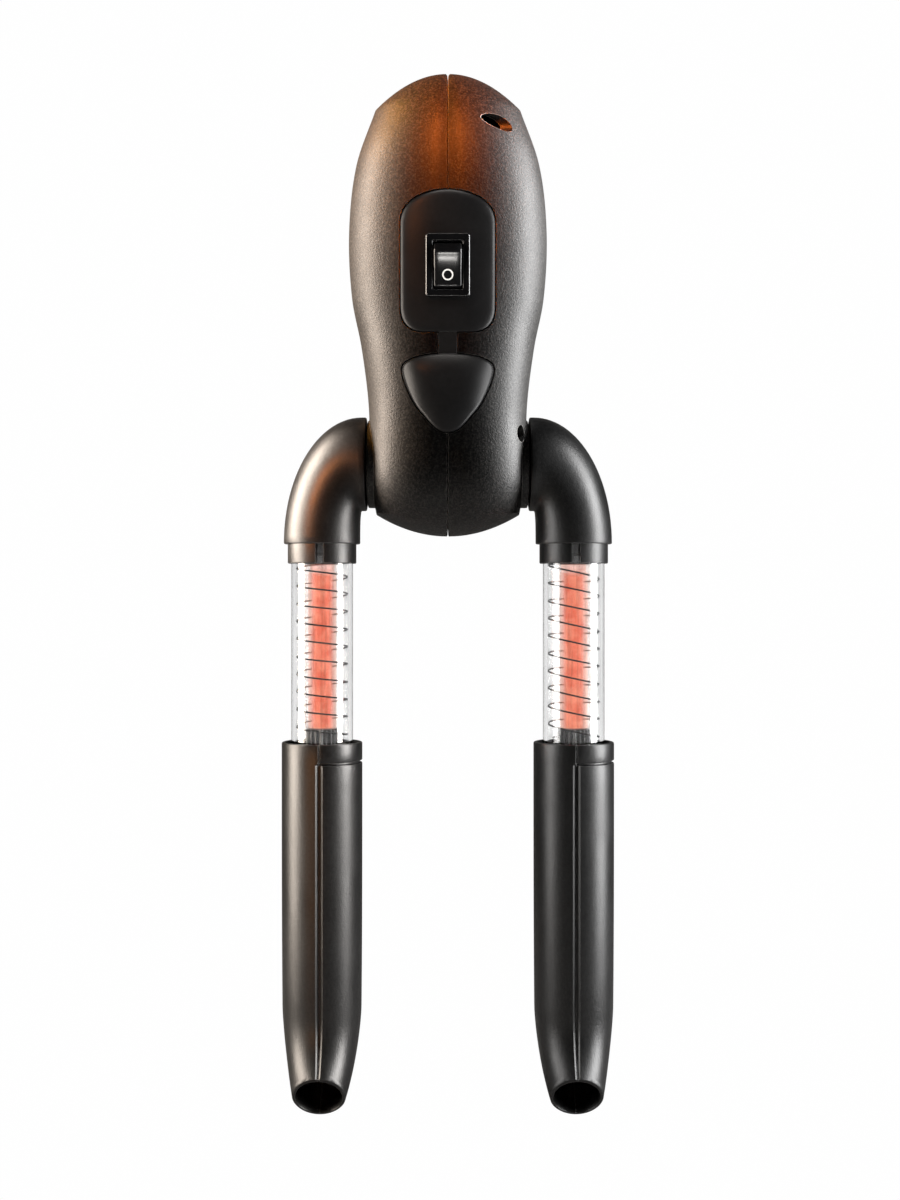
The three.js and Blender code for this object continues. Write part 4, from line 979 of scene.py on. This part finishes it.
def make_grille():
    """Plate that follows the housing's back, with slots for the air."""
    low, high = span("intake_grille")
    centre = (0.0, middle("intake_grille")[2])
    half_h = (high.z - low.z) / 2
    outline = rounded_loop(high.x, half_h, 4 * MM, corner=8, centre=centre)
    grille = patch_solid(
        "intake_grille_fine", outline, centre,
        lambda x, z: back_y(x, z, TRIM_DEPTH),
        lambda x, z, offset: back_y(x, z, fillet(offset, 0.5 * MM, 0.5 * MM) - 0.2 * MM), levels=12,
    )
    count, pitch = 8, 4.2 * MM
    for i in range(count):
        z = centre[1] + (i - (count - 1) / 2) * pitch
        loop = rounded_loop(11 * MM, 1.1 * MM, 1.05 * MM, corner=5, centre=(0, z))
        boolean(grille, loft("slot", [at_depth(loop, y) for y in (20 * MM, 45 * MM)]))
    tidy(grille)
    return stand_for(grille, "intake_grille")


def make_foot(node):
    """Rubber foot with a rounded rim and a slightly sunk face: each ring is smaller by its inset."""
    low, high = span(node)
    centre = (0.0, middle(node)[2])
    w, h, top = high.x, (high.z - low.z) / 2, high.y
    rings = []
    for inset, y in (
        (0, low.y), (0, top - 0.9 * MM), (0.12, top - 0.45 * MM), (0.45, top - 0.12 * MM),
        (0.9, top), (2.2, top), (2.5, top - 0.25 * MM), (2.9, top - 0.25 * MM),
    ):
        loop = rounded_loop(w - inset * MM, h - inset * MM, max(3 - inset, 0.6) * MM, 10, centre)
        rings.append(at_depth(loop, y))
    return stand_for(loft(f"{node}_fine", rings), node)


def make_inlet():
    """Two-pin appliance inlet: rounded flange, deep socket and case."""
    low, high = span("power_inlet")
    centre = (0.0, middle("power_inlet")[2])
    w, h = high.x, (high.z - low.z) / 2
    flange_back = 27 * MM

    def ring(half_w, half_h, radius, y):
        return at_depth(rounded_loop(half_w, half_h, radius, 10, centre), y)

    rings = [
        ring(w - 1.5 * MM, h - 1 * MM, 0.8 * MM, low.y),
        ring(w - 1.5 * MM, h - 1 * MM, 0.8 * MM, flange_back),
        ring(w, h, 2 * MM, flange_back),
        ring(w, h, 2 * MM, high.y - 0.5 * MM),
        ring(w - 0.15 * MM, h - 0.15 * MM, 1.9 * MM, high.y - 0.15 * MM),
        ring(w - 0.5 * MM, h - 0.5 * MM, 1.8 * MM, high.y),
        ring(8.1 * MM, 4.4 * MM, 4.1 * MM, high.y),
        ring(7.8 * MM, 4.1 * MM, 3.9 * MM, high.y - 0.4 * MM),
        ring(7.8 * MM, 4.1 * MM, 3.9 * MM, high.y - 12 * MM),
    ]
    stand_for(loft("power_inlet_fine", rings), "power_inlet")
    for node in ("inlet_pin_left", "inlet_pin_right"):
        low, high = span(node)
        x, _, z = middle(node)
        radius, tip = (high.x - low.x) / 2, high.y
        profile = (
            (low.y, radius), (tip - 1 * MM, radius), (tip - 0.3 * MM, radius * 0.8), (tip, radius * 0.4),
        )
        rings = [circle((x, y, z), (r, 0, 0), (0, 0, r), 24) for y, r in profile]
        stand_for(loft(f"{node}_fine", rings), node)


# ---------- arms ----------

# The bend starts wide at the swivel and ends narrower at the collar, above the clear tube
BEND_X = 28.5 * MM
START_RADIUS = 15.5 * MM
END_RADIUS = 12.65 * MM
ELBOW_END = -26.1 * MM
TUBE_RADIUS = 10.2 * MM
TUBE_BORE = 8.9 * MM
SIDES = 72


def on_side(side, points):
    """Points of the right arm, or their mirror image for the left one."""
    return [Vector((side * p.x, p.y, p.z)) for p in points]


def elbow_section(side, t, inset):
    """A section of the elbow's bend, from 0 at the swivel to 1 at the collar."""
    rise, reach = math.cos(t * math.pi / 2), math.sin(t * math.pi / 2)
    outer = Vector((
        BEND_X + reach * (ARM_X + END_RADIUS - BEND_X), 0,
        ELBOW_END + rise * (START_RADIUS - ELBOW_END),
    ))
    inner = Vector((
        BEND_X + reach ** 0.7 * (ARM_X - END_RADIUS - BEND_X), 0,
        ELBOW_END + rise ** 0.7 * (-START_RADIUS - ELBOW_END),
    ))
    centre = (outer + inner) / 2
    out = outer - centre
    out.length -= inset
    depth = START_RADIUS + (END_RADIUS - START_RADIUS) * t - inset
    return on_side(side, circle(centre, out, (0, -depth, 0), SIDES))


def make_elbow(label, side):
    """Spigot with its groove, bend and stepped collar in one hollow skin, with the slot in front."""
    def spigot(x, radius):
        return on_side(side, across(x * MM, radius * MM, SIDES))

    def collar(z, radius):
        return on_side(side, level(ARM_X, z * MM, radius * MM, SIDES))

    wall = 2.2 * MM
    steps = 28
    outside = [spigot(x, r) for x, r in (
        (18.5, 8.2), (18.5, 10.3), (18.7, 10.5), (19.9, 10.5), (19.9, 9.6), (21.5, 9.6), (21.5, 10.5),
        (26.9, 10.5), (26.9, 14.9), (26.98, 15.3), (27.3, 15.48), (27.6, 15.5),
    )]
    outside += [elbow_section(side, i / steps, 0) for i in range(steps + 1)]
    outside += [collar(z, r) for z, r in (
        (-26.35, 12.55), (-26.45, 12.25), (-26.45, 11.35), (-32.5, 11.35), (-32.8, 11.27), (-32.9, 11.05),
        (-32.9, 10.65), (-32.75, 10.5), (-25.5, 10.5),
    )]
    inside = [elbow_section(side, i / steps, wall) for i in range(steps - 1, -1, -1)]
    inside.append(spigot(28.4, 8.2))
    elbow = loft(f"{label}_elbow_fine", outside + inside, looped=True)
    x, half_slot = side * ARM_X, 1.35 * MM
    slot_low = (x - half_slot, -14 * MM, -40 * MM)
    boolean(elbow, block("slot", slot_low, (x + half_slot, -8 * MM, ELBOW_END - 0.5 * MM)))
    tidy(elbow)
    return stand_for(elbow, f"{label}_elbow")


def make_tube(label, x):
    """Clear tube with softened ends, and the snap tab that shows in the collar's slot."""
    soft = 0.3 * MM
    profile = (
        (TUBE_TOP, TUBE_BORE + soft), (TUBE_TOP, TUBE_RADIUS - soft), (TUBE_TOP - soft, TUBE_RADIUS),
        (TUBE_END + soft, TUBE_RADIUS), (TUBE_END, TUBE_RADIUS - soft), (TUBE_END, TUBE_BORE + soft),
        (TUBE_END + soft, TUBE_BORE), (TUBE_TOP - soft, TUBE_BORE),
    )
    stand_for(turned(f"{label}_clear_tube_fine", x, profile, 96, looped=True), f"{label}_clear_tube")
    half_tab = 0.95 * MM
    tab_low = (x - half_tab, -11.0 * MM, -33.2 * MM)
    tab = block(f"{label}_snap_tab", tab_low, (x + half_tab, -TUBE_RADIUS - 0.02 * MM, -30.7 * MM))
    add_to(tab, f"{label}_arm", "clear_plastic")


def make_rod(label, x):
    """Glowing rod, a tube of painted glow round it, and the ribbed cap on its lower end inside the sleeve's
    rim.
    """
    radius, glow_radius, cap_top = 4.1 * MM, 4.6 * MM, ROD_END + 1.4 * MM
    neck = ROD_TOP - 4.2 * MM
    rod = turned(f"{label}_heater_rod_fine", x, (
        (cap_top + 0.1 * MM, glow_radius - 0.3 * MM), (cap_top + 0.4 * MM, glow_radius),
        (neck - 0.5 * MM, glow_radius), (neck, radius),
        (ROD_TOP - 0.5 * MM, radius), (ROD_TOP, radius - 0.5 * MM),
    ), 40)
    stand_for(rod, f"{label}_heater_rod")
    # A tube that carries the rod's painted glow, standing in for the rod's light in the haze.
    sheet_radius, sheet_top = 6.3 * MM, COLLAR_END - 0.4 * MM
    glow_sheet = turned(f"{label}_rod_glass", x, (
        (cap_top + 0.3 * MM, sheet_radius - 0.6 * MM), (cap_top + 1.2 * MM, sheet_radius),
        (sheet_top - 1.2 * MM, sheet_radius), (sheet_top, sheet_radius - 0.6 * MM),
    ), 48)
    add_to(glow_sheet, f"{label}_arm", "clear_plastic", ROD_GLOW_VEIL)

    ribs, points_round = 20, 160

    def ribbed(drop, outer, depth):
        points = []
        for i in range(points_round):
            a = 2 * math.pi * i / points_round
            r = outer * MM - depth * MM * (0.5 - 0.5 * math.cos(ribs * a))
            points.append(Vector((x + r * math.cos(a), -r * math.sin(a), cap_top - drop * MM)))
        return points

    cap_rings = [ribbed(7, 5, 0), ribbed(6.8, 5.4, 0.6), ribbed(0.5, 5.4, 0.6), ribbed(0, 4.9, 0.1)]
    add_to(loft(f"{label}_rod_cap", cap_rings), f"{label}_arm", "arm_plastic")


def make_holder(label, x):
    """Ring, three spokes and a socket that carry the heater rod."""
    holder = turned(f"{label}_rod_holder_fine", x, [(z * MM, r * MM) for z, r in (
        (-26.2, 7.5), (-26.2, 8.4), (-26.4, 8.6), (-29.8, 8.6),
        (-30, 8.4), (-30, 7.5), (-29.8, 7.3), (-26.4, 7.3),
    )], 72, looped=True)
    socket_end = COLLAR_END / MM - 0.3
    pocket = socket_end + 2.5
    socket = turned("socket", x, [(z * MM, r * MM) for z, r in (
        (-27, 2), (-27, 5.1), (-27.4, 5.5), (socket_end + 0.4, 5.5), (socket_end, 5.1),
        (socket_end, 4.6), (socket_end + 0.2, 4.4), (pocket, 4.4), (pocket, 2),
    )], 48)
    spokes, spoke_radius = 3, 0.9
    for i in range(spokes):
        angle = math.pi / 2 + 2 * math.pi * i / spokes
        direction = Vector((math.cos(angle), math.sin(angle), 0))
        side = Vector((-direction.y, direction.x, 0)) * spoke_radius * MM
        up = (0, 0, spoke_radius * MM)
        centre = Vector((x, 0, -28 * MM))
        rings = [circle(centre + direction * r * MM, side, up, 16) for r in (4.8, 7.9)]
        boolean(socket, loft("spoke", rings), "UNION")
    boolean(holder, socket, "UNION")
    tidy(holder)
    return stand_for(holder, f"{label}_rod_holder")


def make_coil(label, x, lean):
    """Loose coil of wire: lean is how far its turns tip down towards +X on the front."""
    turns, pitch, radius, wire = 10.4, 5.8 * MM, 8.35 * MM, 0.27 * MM
    top = -31.5 * MM
    per_turn = 40
    count = round(turns * per_turn)

    def wire_point(i):
        angle = 2 * math.pi * i / per_turn
        wobble = 0.12 * MM * math.sin(0.7 * angle)
        z = top - pitch * i / per_turn - lean * math.cos(angle) + wobble
        return Vector((x + radius * math.cos(angle), radius * math.sin(angle), z))

    rings = []
    for i in range(count + 1):
        centre = wire_point(i)
        along = (wire_point(i + 1) - wire_point(i - 1)).normalized()
        out = Vector((centre.x - x, centre.y, 0)).normalized()
        up = along.cross(out).normalized()
        out = up.cross(along)
        rings.append(circle(centre, out * wire, up * wire, 10))
    return stand_for(loft(f"{label}_wire_coil_fine", rings, sharp=60), f"{label}_wire_coil")


def make_bush(label, x):
    """Guide bush, with the key that keeps the sleeve from turning on it."""
    low, high = span(f"{label}_guide_bush")
    bush = turned(f"{label}_guide_bush_fine", x, [(z, r * MM) for z, r in (
        (high.z, 10.5), (high.z, 11.1), (high.z - 0.3 * MM, 11.4),
        (low.z + 0.3 * MM, 11.4), (low.z, 11.1), (low.z, 10.5),
    )], 72, looped=True)
    key_low = (x - 1 * MM, 11 * MM, low.z + 0.5 * MM)
    boolean(bush, block("key", key_low, (x + 1 * MM, 12.05 * MM, high.z - 0.5 * MM)), "UNION")
    tidy(bush)
    return stand_for(bush, f"{label}_guide_bush")


BEND_START = -179.5 * MM
BEND_RADIUS = 32 * MM
BEND_ANGLE = math.radians(55)
NARROWING = 1.5
RING_END = -98.4 * MM
GROOVE_DEPTH = 0.8 * MM


def sleeve_angles():
    """Angles round the sleeve from +X by way of the front, closer together at the two seams."""
    angles = [2 * math.pi * i / 60 for i in range(60)]
    close = [math.radians(d) for d in (-5.6, -5.0, -2.3, -2.0, -1.3, -0.8, 0.8, 1.3, 2.0, 2.3, 5.0, 5.6)]
    for seam in SEAMS:
        angles += [seam + d for d in close]
    return sorted(angles)


SEAMS = (math.pi / 2, 3 * math.pi / 2)
ANGLES = sleeve_angles()


def seam_sink(angle, floor, mouth):
    """Depth of a seam's channel at an angle: flat out to the floor's edge, then sloping up to its mouth."""
    off = math.degrees(min(abs(angle - seam) for seam in SEAMS))
    return GROOVE_DEPTH * min(max((mouth - off) / (mouth - floor), 0.0), 1.0)


def sleeve_ring(x, z, radius, bend=0.0, seam=0.0, cover=0.0, thin=0.0):
    """One level of the sleeve: seam, cover and thin say how much of each groove it has."""
    centre = Vector((x, -BEND_RADIUS * (1 - math.cos(bend)), z - BEND_RADIUS * math.sin(bend)))
    forward = Vector((0, -math.cos(bend), math.sin(bend)))
    points = []
    for angle in ANGLES:
        on_cover = 1.0 if math.cos(angle) > -1e-9 else 0.0
        r = radius - max(
            seam * seam_sink(angle, 2.2, 5.0), thin * seam_sink(angle, 0, 1.3),
            cover * on_cover * GROOVE_DEPTH,
        )
        points.append(centre + Vector((r * math.cos(angle), 0, 0)) + forward * r * math.sin(angle))
    return points


def sleeve_skin(name, x):
    """The whole sleeve, inside and out: rim, ring, grooved straight part, nozzle and the stop in its bore."""
    rim, straight_radius, mouth = 13.35 * MM, 13.1 * MM, 8.7 * MM
    bore, mouth_bore = 11.75 * MM, 7.4 * MM
    rings = [
        sleeve_ring(x, RIM_Z, 12.3 * MM), sleeve_ring(x, RIM_Z, rim - 0.5 * MM),
        sleeve_ring(x, RIM_Z - 0.13 * MM, rim - 0.15 * MM), sleeve_ring(x, RIM_Z - 0.5 * MM, rim, thin=0.6),
    ]
    for drop, cover, seam in (
        (-0.75, 0, 0), (-0.5, 0.15, 0), (-0.35, 1, 0), (0, 1, 0.2),
        (0.3, 1, 1), (0.45, 0.15, 1), (0.75, 0, 1),
    ):
        rings.append(sleeve_ring(x, RING_END - drop * MM, rim, seam=seam, cover=cover, thin=0.6))
    straight_steps = 12
    for i in range(1, straight_steps + 1):
        t = i / straight_steps
        z = RING_END - 0.6 * MM + (BEND_START - RING_END + 0.6 * MM) * t
        rings.append(sleeve_ring(x, z, rim + (straight_radius - rim) * t ** 3, seam=1.0))
    steps = 20
    for i in range(1, steps + 1):
        t = i / steps
        radius = straight_radius + (mouth - straight_radius) * t ** NARROWING
        rings.append(sleeve_ring(x, BEND_START, radius, BEND_ANGLE * t, seam=1.0 - 0.5 * t))
    for radius, share in (
        (mouth - 0.15 * MM, 1.005), (mouth - 0.4 * MM, 1.012),
        (mouth_bore + 0.35 * MM, 1.012), (mouth_bore, 0.99),
    ):
        rings.append(sleeve_ring(x, BEND_START, radius, BEND_ANGLE * share))
    for i in range(steps - 1, -1, -1):
        t = i / steps
        radius = bore - 0.2 * MM + (mouth_bore - bore) * t ** NARROWING
        rings.append(sleeve_ring(x, BEND_START, radius, BEND_ANGLE * t))
    for z, radius in (
        (-96.5, 11.75), (-96.5, 10.8), (-96.3, 10.6), (-94.2, 10.6),
        (-94.0, 10.8), (-94.0, 12.0), (-92.2, 12.1),
    ):
        rings.append(sleeve_ring(x, z * MM, radius * MM))
    return loft(name, rings, looped=True)


def make_sleeve(label, x):
    """Main half with the full ring, and the cover half that starts below it."""
    far, half_gap = 300 * MM, 0.01 * MM
    main = sleeve_skin(f"{label}_sleeve_main_fine", x)
    boolean(main, block("away", (x - half_gap, -far, -far), (x + far, far, RING_END - 0.2 * MM)))
    cover = sleeve_skin(f"{label}_sleeve_cover_fine", x)
    keep = block("keep", (x + half_gap, -far, -far), (x + far, far, RING_END - 0.4 * MM))
    boolean(cover, keep, "INTERSECT")
    for half, node in ((main, f"{label}_sleeve_main"), (cover, f"{label}_sleeve_cover")):
        tidy(half)
        stand_for(half, node)


# ---------- assembly ----------

make_shell(-1)
make_shell(1)
make_trim()
make_bezel()
make_rocker()
for screw_node in SCREWS:
    make_screw(screw_node)
make_grille()
make_inlet()
make_foot("rear_foot_lower")
make_foot("rear_foot_upper")
for arm_label, arm_side, coil_lean in (("left", -1, 0.0), ("right", 1, 0.9 * MM)):
    arm_x = arm_side * ARM_X
    make_elbow(arm_label, arm_side)
    make_tube(arm_label, arm_x)
    make_holder(arm_label, arm_x)
    make_rod(arm_label, arm_x)
    make_coil(arm_label, arm_x, coil_lean)
    make_bush(arm_label, arm_x)
    make_sleeve(arm_label, arm_x)

for node_name, node_object in frame["nodes"].items():
    if not node_object.hide_render:
        node_object.data.materials.clear()
        node_object.data.materials.append(SURFACES[SLOT_OF[node_name]])


# ---------- stage, light and camera ----------

def make_stage():
    """Pale floor that sweeps up behind the dryer."""
    floor_z = cad_box[0].z - 0.5 * MM
    half, near, far, height, bend = 0.55, -0.9, 0.75, 1.1, 0.35
    line = [(near, floor_z), (far - bend, floor_z)]
    for i in range(1, 17):
        a = math.pi / 2 * i / 16
        line.append((far - bend + bend * math.sin(a), floor_z + bend * (1 - math.cos(a))))
    line.append((far, floor_z + height))
    verts = [(x, y, z) for y, z in line for x in (-half, half)]
    faces = [(2 * i, 2 * i + 1, 2 * i + 3, 2 * i + 2) for i in range(len(line) - 1)]
    mesh = bpy.data.meshes.new("sweep")
    mesh.from_pydata(verts, [], faces)
    mesh.shade_smooth()
    sweep = bpy.data.objects.new("sweep", mesh)
    bpy.context.scene.collection.objects.link(sweep)
    sweep.data.materials.append(stage_surface())


def hang(name, light, place, aim, watts, colour, only, never):
    """Hangs a light, with its place and aim measured from the swivel axis.

    It lights the pieces whose names start with a word of only, or all but those of never.
    """
    light.energy = watts
    light.color = colour
    obj = bpy.data.objects.new(name, light)
    obj.location = Vector(place) + LIFT
    obj.rotation_euler = (Vector(aim) - Vector(place)).to_track_quat("-Z", "Y").to_euler()
    bpy.context.scene.collection.objects.link(obj)
    listed = bpy.data.collections.new(f"flag_{name}")
    for piece in bpy.data.objects:
        if piece.type == "MESH" and piece.name.startswith(only or never):
            listed.objects.link(piece)
    for entry in listed.collection_objects:
        entry.light_linking.link_state = "INCLUDE" if only else "EXCLUDE"
    obj.light_linking.receiver_collection = listed
    return obj


def softbox(name, place, aim, size, watts, colour, only=(), never=()):
    """Area light that the camera doesn't see."""
    light = bpy.data.lights.new(name, "AREA")
    light.shape = "RECTANGLE"
    light.size, light.size_y = size
    hang(name, light, place, aim, watts, colour, only, never).visible_camera = False


def spot(name, place, aim, degrees, watts, colour, softness, only):
    """Soft-edged spot light."""
    light = bpy.data.lights.new(name, "SPOT")
    light.spot_size = math.radians(degrees)
    light.spot_blend = 1.0
    light.shadow_soft_size = softness
    hang(name, light, place, aim, watts, colour, only, ())


def make_lights():
    """Tall side boxes for each arm, upright boxes beside the housing, and warm light on the upper left."""
    shells, trim, switch = ("left_shell", "right_shell"), ("front_trim",), ("switch_rocker", "switch_off")
    left_arm = ("left_elbow", "left_sleeve", "left_clear")
    right_arm = ("right_elbow", "right_sleeve", "right_clear")
    white, tall, upright = (1.0, 1.0, 1.0), (0.2, 0.8), (0.12, 0.36)
    for name, x, y, watts, colour, lit in (
        ("left_of_left_arm", -0.42, -0.06, 11.0, (1.0, 0.88, 0.76), left_arm),
        ("left_of_right_arm", -0.42, -0.14, 4.0, (1.0, 0.98, 0.96), right_arm),
        ("right_of_left_arm", 0.42, -0.1, 12.0, (1.0, 0.97, 0.94), left_arm),
        ("right_of_right_arm", 0.42, -0.08, 9.5, white, right_arm),
    ):
        softbox(name, (x, y, -0.1), (0, 0, -0.1), tall, watts, colour, lit)
    # These two also light the floor, whose bounce fills the housing's lower front
    for name, x, colour in (("left_side", -0.42, (1.0, 0.9, 0.8)), ("right_side", 0.42, white)):
        softbox(name, (x, -0.16, -0.05), (0, 0, 0), tall, 6.0, colour, never=left_arm + right_arm + shells)
    for name, x, colour, unlit in (
        ("left_back", -0.34, (1.0, 0.85, 0.72), ("left_sleeve", "left_clear")),
        ("right_back", 0.34, white, left_arm),
    ):
        unlit += ("sweep", "front_trim") + right_arm
        softbox(name, (x, 0.035, 0.13), (0, 0, 0.07), upright, 4.1, colour, never=unlit)
    for name, place, aim, degrees, watts, colour, softness, lit in (
        ("warm_top", (0.0, -0.3, 0.34), (-0.006, 0, 0.138), 23, 24.0, (1.0, 0.2, 0.03), 0.04, shells),
        ("warm_trim", (-0.2, -0.4, 0.25), (-0.012, -0.03, 0.08), 12, 2.2, (1.0, 0.3, 0.08), 0.05, trim),
        ("warm_elbow", (-0.4, -0.4, 0.1), (-0.05, 0, 0.0), 40, 9.0, (1.0, 0.3, 0.07), 0.06, left_arm[:1]),
        (
            "warm_sleeve", (-0.25, -0.42, -0.2), (-0.042, 0, -0.13), 50, 7.0, (1.0, 0.42, 0.14), 0.25,
            left_arm[1:2],
        ),
    ):
        spot(name, place, aim, degrees, watts, colour, softness, lit)
    for name, place, aim, size, watts, colour, lit in (
        ("trim_card", (0.0, -0.28, 0.42), (0, 0, 0.03), (0.25, 0.1), 0.8, (1.0, 0.95, 0.9), trim),
        ("warm_rim", (-0.3, 0.02, 0.36), (0, 0, 0.1), (0.2, 0.2), 1.5, (1.0, 0.42, 0.03), shells),
        ("switch_card", (0.0, -0.5, -0.19), (0, 0, 0.06), (0.2, 0.07), 1.3, (1.0, 0.97, 0.93), switch),
    ):
        softbox(name, place, aim, size, watts, colour, lit)


def make_world():
    """White where the camera looks past the floor, and nearly dark for everything else."""
    world = bpy.data.worlds.new("studio")
    bpy.context.scene.world = world
    world.use_nodes = True
    tree = world.node_tree
    tree.nodes.clear()
    dim, white = (
        put(tree, "ShaderNodeBackground", Color=(1, 1, 1, 1), Strength=strength).outputs[0]
        for strength in (0.012, 1.0)
    )
    put(tree, "ShaderNodeOutputWorld", Surface=mix_shader(tree, direct_view(tree), dim, white))


def make_camera():
    """Level camera half a metre in front, framed 398 mm high at the swivel axis."""
    distance = 0.535
    frame_height = 0.3984
    sensor = 36.0
    camera = bpy.data.cameras.new("camera")
    camera.sensor_width = sensor
    camera.lens = sensor * distance / frame_height
    obj = bpy.data.objects.new("camera", camera)
    obj.location = Vector((0.0007, -distance, -0.045)) + LIFT
    obj.rotation_euler = (math.pi / 2, 0, 0)
    camera.clip_start = 0.01
    bpy.context.scene.collection.objects.link(obj)
    bpy.context.scene.camera = obj


make_stage()
make_lights()
make_world()
make_camera()
bpy.context.scene.view_settings.view_transform = "Standard"
